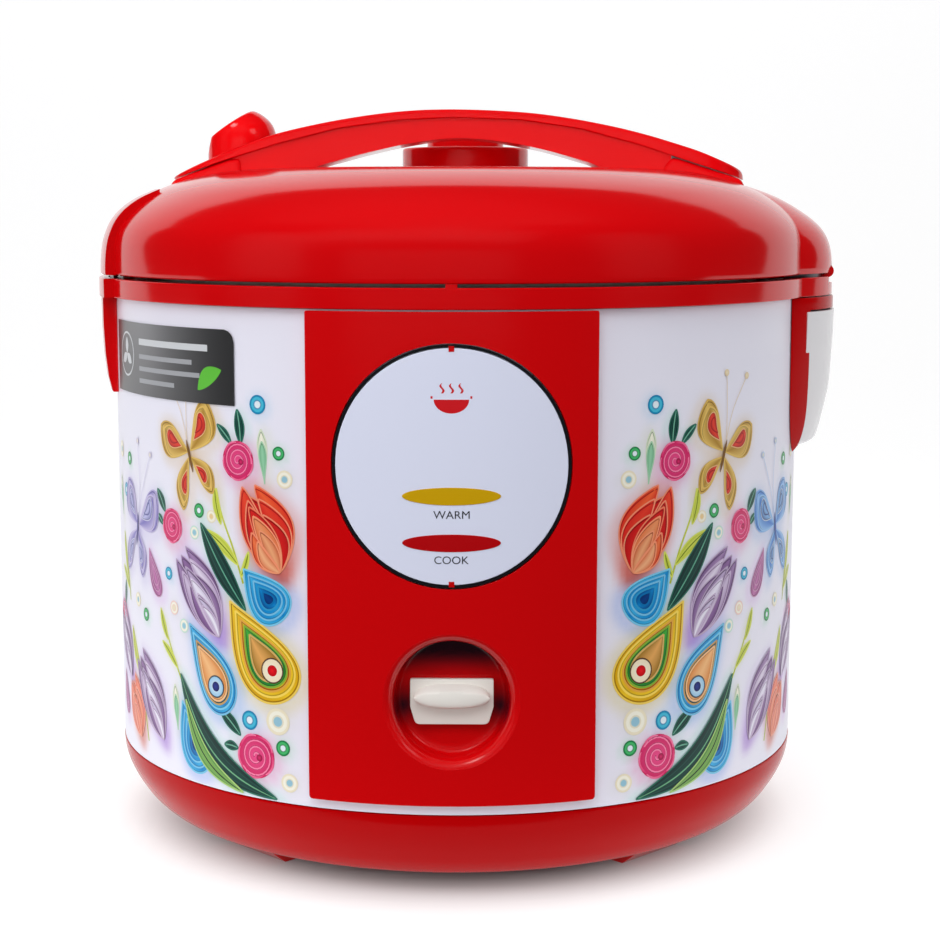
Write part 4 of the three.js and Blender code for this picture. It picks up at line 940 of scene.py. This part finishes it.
    # butterflies
    for (u, z), s, (wing, wing2, rim_c, core, core2, tip_c), tilt, fold in [
        ((99.5, 146), 1.14, (rgb(176, 130, 40), rgb(226, 190, 100), rgb(120, 80, 20), rgb(170, 20, 20), rgb(226, 60, 40), rgb(250, 210, 150)), -0.06, 1.0),
        ((138.5, 116), 1.25, ((rgb(120, 110, 190), rgb(200, 190, 226), rgb(86, 80, 150), rgb(90, 90, 160), rgb(190, 190, 230), rgb(230, 230, 246)) if m < 0 else (rgb(50, 120, 206), rgb(150, 196, 240), rgb(30, 80, 170), rgb(30, 60, 130), rgb(130, 180, 230), rgb(226, 240, 250))), 0.42, 0.9),
    ]:
        def W(x, y):
            x *= fold
            return P(u + s * (x * math.cos(tilt) - y * math.sin(tilt)), z + s * (x * math.sin(tilt) + y * math.cos(tilt)))
        wash = mix(wing2, (1, 1, 1, 1), 0.1)
        for a, b, fat, bend, k, lo in [((-0.4, 1.4), (-8.6, 16.5), 4.9, 2.6, (0.20, 0.74), 2.2), ((0.8, 1.0), (14.6, 8.8), 4.9, -1.8, (0.2, 0.74), 2.2), ((-0.4, -0.6), (-9.6, -11), 3.0, -1.4, (0.22, 0.7), 1.5), ((0.6, -0.8), (4.6, -16.5), 3.0, 1.6, (0.22, 0.7), 1.5)]:
            l, r = leaf_outline(W(*a), W(*b), fat * s, bend * s * m, 20, 0.7, 0.6)
            quill((l, r), W(*a), [(1, wing, wing2, wing2), (0.86, wing2, wing, wing2)], 0.16, 0.6, wash, 3.2, 0.75, off)
            q0, q1 = point(W(*a), W(*b), k[0]), point(W(*a), W(*b), k[1])
            bx = bend * s * 0.55 * m
            quill(drop_outline(q0, q1, lo * s, bx, 20), point(q0, q1, 0.6), [(1, core, core2, tip_c), (0.55, core, core2, core)], 0.24, 0.45)
        FINE.level = 0.34
        ribbon([W(-1.2 + 0.3 * t, -5 + 1.2 * t) for t in range(9)], 1.1 * s, rim_c, taper=0.8)
        for dx, dz in ((-1.5, 23), (9.0, 22)):
            pts = spline([W(0.9, 4.6), W(0.9 + dx * 0.3, 4.6 + dz * 0.42), W(0.9 + dx, 4.6 + dz * 0.86)], 8)
            ribbon(pts, 0.3, mix(wing2, SLEEVE_WHITE, 0.45))
            disc(pts[-1][0], pts[-1][1], 1.2, mix(wing2, SLEEVE_WHITE, 0.3), CREAM)
    # roses and their leaves
    for u, z, r, spin, leaves in [(76.5, 146, 6.6, 0.4, [((75.2, 151.6), (76.6, 163), 1.9), ((79.2, 151.4), (85.6, 157.5), 1.3)]), (110.8, 120.6, 6.0, 1.7, [((115.2, 125), (120.4, 132.4), 1.7), ((116.8, 120.4), (120.8, 123.6), 1.1)]),
                                  (70.6, 46.8, 7.6, 2.8, [((77, 53), (86.6, 61), 2.1), ((78.2, 48.4), (84.4, 48.8), 1.5)]), (163, 80, 6.0, 0.9, [((160, 85), (157.6, 94), 1.6)])]:
        for a, b, fat in leaves:
            leafy(P(*a), P(*b), fat, 0.3 * m, dark, dark2, edge, rgb(110, 176, 150), 0.12, rgb(130, 180, 160), 1.8, off, 14)
        rose(*P(u, z), r, spin, m, off)
    # ring beads
    for u, z, r, cols in [(68, 165, 3.2, (TEAL, TEAL2, SKYC)), (60, 149.4, 2.3, (GRN, GRN2, SKYC)), (57.8, 141, 3.0, (CREAM, PALE, CORE)), (95.2, 127.6, 2.5, (GRN, GRN2, SKYC)), (89, 126.2, 2.2, (CREAM, PALE, rgb(236, 206, 150))),
                          (97.8, 119.8, 2.4, (rgb(196, 226, 214), PALE, CORE)), (113.6, 103.6, 2.3, (TEAL, TEAL2, SKYC)), (110.5, 92, 2.5, (rgb(240, 206, 196), PALE, CREAM)), (104.6, 86.6, 2.5, (rgb(196, 226, 214), PALE, CORE)),
                          (61.5, 59.8, 4.6, (CREAM, PALE, CORE)), (73, 58.8, 3.3, (TEAL, TEAL2, SKYC)), (59.6, 51, 2.7, (GRN, GRN2, SKYC)), (57.2, 39.4, 3.2, (CREAM, PALE, CORE)), (132, 86, 2.4, (GRN, GRN2, SKYC)), (140, 90, 2.6, (CREAM, PALE, CORE)),
                          (153, 128, 2.6, (TEAL, TEAL2, SKYC)), (147, 140, 2.4, (GRN, GRN2, SKYC)), (160, 142, 3.0, (CREAM, PALE, CORE))]:
        ring(*P(u, z), r, *cols, off)


garden(1)
garden(-1)


def washes(name, m):
    """The soft tint round each motif, as a fine grid over the sleeve coloured at its corners."""
    u0, u1, z0, z1, step = 49.2, 180.0, 32.9, 178.0, 2.0
    nu, nz = int((u1 - u0) / step), int((z1 - z0) / step)
    us = np.linspace(u0, u1, nu + 1) * m + (OFFSET if m < 0 else 0.0)
    zs = np.linspace(z0, z1, nz + 1)
    U, Z = np.meshgrid(us, zs, indexing="ij")
    col = np.ones((*U.shape, 3)) * np.array(SLEEVE_WHITE[:3])
    for pts, c, dist, strength in GLOWS:
        p = np.array(pts)
        if (p[:, 0].mean() > 0) != (m > 0):
            continue
        reach = 2.6 * dist
        box = (U > p[:, 0].min() - reach) & (U < p[:, 0].max() + reach) & (Z > p[:, 1].min() - reach) & (Z < p[:, 1].max() + reach)
        q = np.stack([U[box], Z[box]], 1)
        if not len(q):
            continue
        d = np.sqrt(((q[:, None, :] - p[None]) ** 2).sum(2)).min(1)
        f = strength * np.exp(-((d / dist) ** 2))
        tint = np.array(c[:3]) / max(c[:3])
        col[box] = col[box] * (1 - f[:, None] * (0.42 * (1 - tint) + 0.07))
    verts = [wrap(U[i, k], Z[i, k], 0.03, SR) for i in range(nu + 1) for k in range(nz + 1)]
    cols = [(*col[i, k], 1.0) for i in range(nu + 1) for k in range(nz + 1)]
    faces = [(i * (nz + 1) + k, (i + 1) * (nz + 1) + k, (i + 1) * (nz + 1) + k + 1, i * (nz + 1) + k + 1) for i in range(nu) for k in range(nz)]
    make(name, verts, faces, "print", "cooker_body", colors=cols)


washes("print_washes_right", 1)
washes("print_washes_left", -1)


def clip_low(ink, z0):
    """Nothing is printed under the base's edge: corners below it are lifted to it."""
    ink.v = [(x, y, max(z, z0)) for x, y, z in ink.v]


clip_low(FINE, 32.6)
make("print_flowers", FINE.v, FINE.f, "print", "cooker_body", colors=FINE.c)

# ------------------------------------------------------------------ round mark on the disc and the sticker on the sleeve

def mark_ring(cx, cz, r0, r1, color, n=48, a0=0, a1=TAU, w=-0.12):
    pts, cols, faces = [], [], []
    for i in range(n + 1):
        a = a0 + (a1 - a0) * i / n
        pts += [(cx + r0 * math.cos(a), cz + r0 * math.sin(a)), (cx + r1 * math.cos(a), cz + r1 * math.sin(a))]
        cols += [color, color]
    for i in range(n):
        faces.append((2 * i, 2 * i + 1, 2 * i + 3, 2 * i + 2))
    return pts, faces, cols


def emblem():
    red = rgb(204, 24, 32)
    v, f, c = [], [], []

    def put(pts, faces, cols, w):
        n = len(v)
        v.extend(wrap(u, z, w, 130.5) for u, z in pts)
        c.extend(cols)
        f.extend(tuple(n + i for i in q) for q in faces)
    # a bowl with three wisps of steam
    bowl = [(5.6 * math.cos(math.pi + math.pi * i / 24), 168.6 + 4.4 * math.sin(math.pi + math.pi * i / 24)) for i in range(25)]
    put(bowl + [(0, 168.6)], [(25, i, i + 1) for i in range(24)], [red] * 26, -0.12)
    put([(-6.6, 168.9), (6.6, 168.9), (6.6, 169.7), (-6.6, 169.7)], [(0, 1, 2, 3)], [red] * 4, -0.12)
    for x in (-3, 0, 3):
        pts = [(x + 0.5 * math.sin(i * 0.7), 170.6 + i * 0.36) for i in range(10)]
        vs, fs = [], []
        for i, p in enumerate(pts):
            h = 0.36 * min(1, (9 - i) / 3 + 0.15)
            vs += [(p[0] - h, p[1]), (p[0] + h, p[1])]
        for i in range(9):
            fs.append((2 * i, 2 * i + 1, 2 * i + 3, 2 * i + 2))
        put(vs, fs, [red] * len(vs), -0.12)
    make("disc_emblem", v, f, "print", "cooker_body", colors=c)


emblem()


def sticker():
    u0, u1, z0, z1 = -math.radians(71) * SR, -math.radians(34) * SR, 164.0, 189.0
    NX, NZ = 40, 12
    pts, cols, faces = [], [], []
    for i in range(NX + 1):
        for k in range(NZ + 1):
            u, z = u0 + (u1 - u0) * i / NX, z0 + (z1 - z0) * k / NZ
            # rounded upper corner next to the panel
            cx, cz, r = u1 - 4.5, z1 - 4.5, 4.5
            if u > cx and z > cz:
                d = math.hypot(u - cx, z - cz)
                m = max(u - cx, z - cz)
                if d > 1e-6:
                    s = m / d
                    u, z = cx + (u - cx) * s, cz + (z - cz) * s
            t, h = i / NX, k / NZ
            g = 0.055 + 0.20 * math.exp(-((t - 0.42) / 0.30) ** 2) * (0.5 + 0.5 * h)
            pts.append((u, z))
            cols.append((g, g, g * 1.04, 1.0))
    for i in range(NX):
        for k in range(NZ):
            a = i * (NZ + 1) + k
            faces.append((a, a + NZ + 1, a + NZ + 2, a + 1))
    v = [wrap(u, z, 0.46, SR) for u, z in pts]
    make("sticker_foil_sheet", v, faces, "sticker", "cooker_body", colors=cols)
    v, f, c = [], [], []

    def put(ps, fs, cs, w=0.5):
        n = len(v)
        v.extend(wrap(u, z, w, SR) for u, z in ps)
        c.extend(cs)
        f.extend(tuple(n + i for i in q) for q in fs)

    def bar(ua, ub, za, zb, col, w=0.5):
        n = max(1, int(abs(ub - ua) / 2))
        ps = []
        for i in range(n + 1):
            u = ua + (ub - ua) * i / n
            ps += [(u, za), (u, zb)]
        put(ps, [(2 * i, 2 * i + 2, 2 * i + 3, 2 * i + 1) for i in range(n)], [col] * len(ps), w)
    light, dim, green = (0.62, 0.64, 0.66, 1), (0.36, 0.37, 0.39, 1), rgb(96, 190, 60)
    cu = u0 + 14
    ps, fs, cs = mark_ring(cu, 177.5, 7.2, 7.9, light)
    put(ps, fs, cs)
    for k in range(3):
        a = math.radians(90 + 120 * k)
        l, r = leaf_outline((cu, 177.5), (cu + 6 * math.cos(a), 177.5 + 6 * math.sin(a)), 1.7)
        q = l + r
        n = len(l)
        put(q, [(i, i + 1, n + i + 1, n + i) for i in range(n - 1)], [light] * len(q), 0.51)
    bar(u0 + 27, u1 - 12, 181.4, 183.6, light)
    bar(u0 + 27, u1 - 20, 176.6, 178.2, dim)
    bar(u0 + 27, u1 - 16, 172.4, 174.0, dim)
    bar(u0 + 27, u1 - 30, 168.2, 169.8, dim)
    l, r = leaf_outline((u1 - 17, 168.4), (u1 - 5.6, 175.6), 3.0, 1.4)
    q, n = l + r, len(l)
    put(q, [(i, i + 1, n + i + 1, n + i) for i in range(n - 1)], [green] * len(q), 0.52)
    make("sticker_marks", v, f, "print", "cooker_body", colors=c)


sticker()

# ------------------------------------------------------------------ studio
S = bpy.context.scene
cam = bpy.data.objects.new("Camera", bpy.data.cameras.new("Camera"))
S.collection.objects.link(cam)
cam.data.lens = 74.48
cam.data.sensor_width = 36.0
cam.data.shift_x = 0.0144
cam.data.clip_start, cam.data.clip_end = 0.01, 20.0
CL = Vector((9.04 * MM, -740.25 * MM, 228.3 * MM))
az, pitch = math.radians(0.7), math.radians(7.66)
look = Vector((-math.sin(az) * math.cos(pitch), math.cos(az) * math.cos(pitch), -math.sin(pitch)))
cam.location = CL
cam.rotation_euler = look.to_track_quat("-Z", "Y").to_euler()
S.camera = cam

STUDIO = material("studio_white", (0.38, 0.38, 0.38, 1), rough=0.9, rough_var=0.02, specular=0.2, emission=(1, 1, 1, 1), emission_strength=1.0)
glow_at = STUDIO.node_tree.nodes.new("ShaderNodeAttribute")
glow_at.attribute_name = "fillin"
STUDIO.node_tree.links.new(glow_at.outputs["Color"], STUDIO.node_tree.nodes["Principled BSDF"].inputs["Emission Color"])


def floor_piece(name, xs, rows):
    v, f, c = [], [], []
    for y, z in rows:
        for x in xs:
            v.append((x, y, z))
            # The floor glows evenly except near the cooker, where its glow fades to nothing between 88 and 134 mm from
            # the centre: painted shade that deepens the contact shadow.
            e = 0.74 * step(0.088, 0.134, math.hypot(x, y)) if z < 0.01 else 0.74
            c.append((e, e, e, 1.0))
    n = len(xs)
    for i in range(len(rows) - 1):
        for k in range(n - 1):
            f.append((i * n + k, i * n + k + 1, (i + 1) * n + k + 1, (i + 1) * n + k))
    me = bpy.data.meshes.new(name)
    me.from_pydata(v, [], f)
    at = me.color_attributes.new("fillin", "FLOAT_COLOR", "POINT")
    at.data.foreach_set("color", [q for p in c for q in p])
    me.polygons.foreach_set("use_smooth", [True] * len(f))
    me.materials.append(STUDIO)
    o = bpy.data.objects.new(name, me)
    S.collection.objects.link(o)
    return o


xs = [-2.8, -1.6, -0.8, -0.3] + [-0.2 + 0.008 * i for i in range(51)] + [0.3, 0.8, 1.6, 2.8]
near = [(-0.168 + 0.008 * i, 0.0) for i in range(47)] + [(0.3, 0.0), (0.9, 0.0)]
far = [(0.9 + 0.6 * math.sin(i * math.pi / 24), 0.6 - 0.6 * math.cos(i * math.pi / 24)) for i in range(1, 13)] + [(1.5, 1.9)]
fl = floor_piece("studio_floor", xs, near + far)
fl_front = floor_piece("studio_floor_front", xs, [(-2.2, 0.0), (-1.0, 0.0), (-0.3, 0.0), (-0.2, 0.0), (-0.168, 0.0)])
fl_front.visible_glossy = False
fl_front.visible_diffuse = False


def area(name, loc, target, size, size_y, power, color=(1, 1, 1)):
    d = bpy.data.lights.new(name, "AREA")
    d.shape, d.size, d.size_y, d.energy, d.color = "RECTANGLE", size, size_y, power, color
    o = bpy.data.objects.new(name, d)
    S.collection.objects.link(o)
    o.location = loc
    o.rotation_euler = (Vector(target) - Vector(loc)).to_track_quat("-Z", "Y").to_euler()
    return o


lights = [
    area("key_left", (-1.15, -0.7, 0.6), (0, 0, 0.14), 0.6, 1.0, 6.4, (0.98, 0.98, 1.0)),
    area("key_right", (1.15, -0.7, 0.6), (0, 0, 0.14), 0.6, 1.0, 4.6, (0.98, 0.98, 1.0)),
    area("top", (-0.1, -0.1, 1.5), (0, 0, 0.2), 1.5, 1.2, 9, (0.98, 0.98, 1.0)),
    area("front_top", (-0.15, -0.85, 0.95), (0, 0, 0.24), 1.2, 0.6, 6.5, (0.98, 0.98, 1.0)),
    area("front", (-0.2, -1.5, 0.36), (0, 0, 0.24), 1.4, 0.5, 5.5, (0.98, 0.98, 1.0)),
]
for o in lights:
    o.visible_glossy = False
# two small lamps that only draw the glints on the small raised pieces
glints = bpy.data.collections.new("glints")
for n in ("button_dome", "vent_cap_body", "lever_recess_cup", "panel_plate", "latch_cover"):
    glints.objects.link(bpy.data.objects[n])
for i, (x, y, z, e) in enumerate([(-0.55, -0.62, 1.35, 3.2), (0.75, -0.8, 0.9, 0.8)]):
    g = area("glint_%d" % (i + 1), (x, y, z), (0, 0, 0.2), 0.4, 0.4, e)
    g.light_linking.receiver_collection = glints
    lights.append(g)
upper = bpy.data.collections.new("upper_fill")
for n in ("handle_cover_strip", "handle_lower_body", "handle_boss_left", "handle_boss_right", "vent_cap_body", "vent_seat", "button_dome"):
    upper.objects.link(bpy.data.objects[n])
g = area("upper_front", (-0.2, -1.2, 0.33), (0, 0, 0.25), 0.9, 0.3, 4.6)
g.visible_glossy = False
g.light_linking.receiver_collection = upper
lights.append(g)
world = bpy.data.worlds.new("studio")
S.world = world
world.use_nodes = True
world.node_tree.nodes["Background"].inputs["Color"].default_value = (1, 1, 1, 1)
world.node_tree.nodes["Background"].inputs["Strength"].default_value = 0.04
S.view_settings.view_transform = "Standard"
S.view_settings.look = "None"
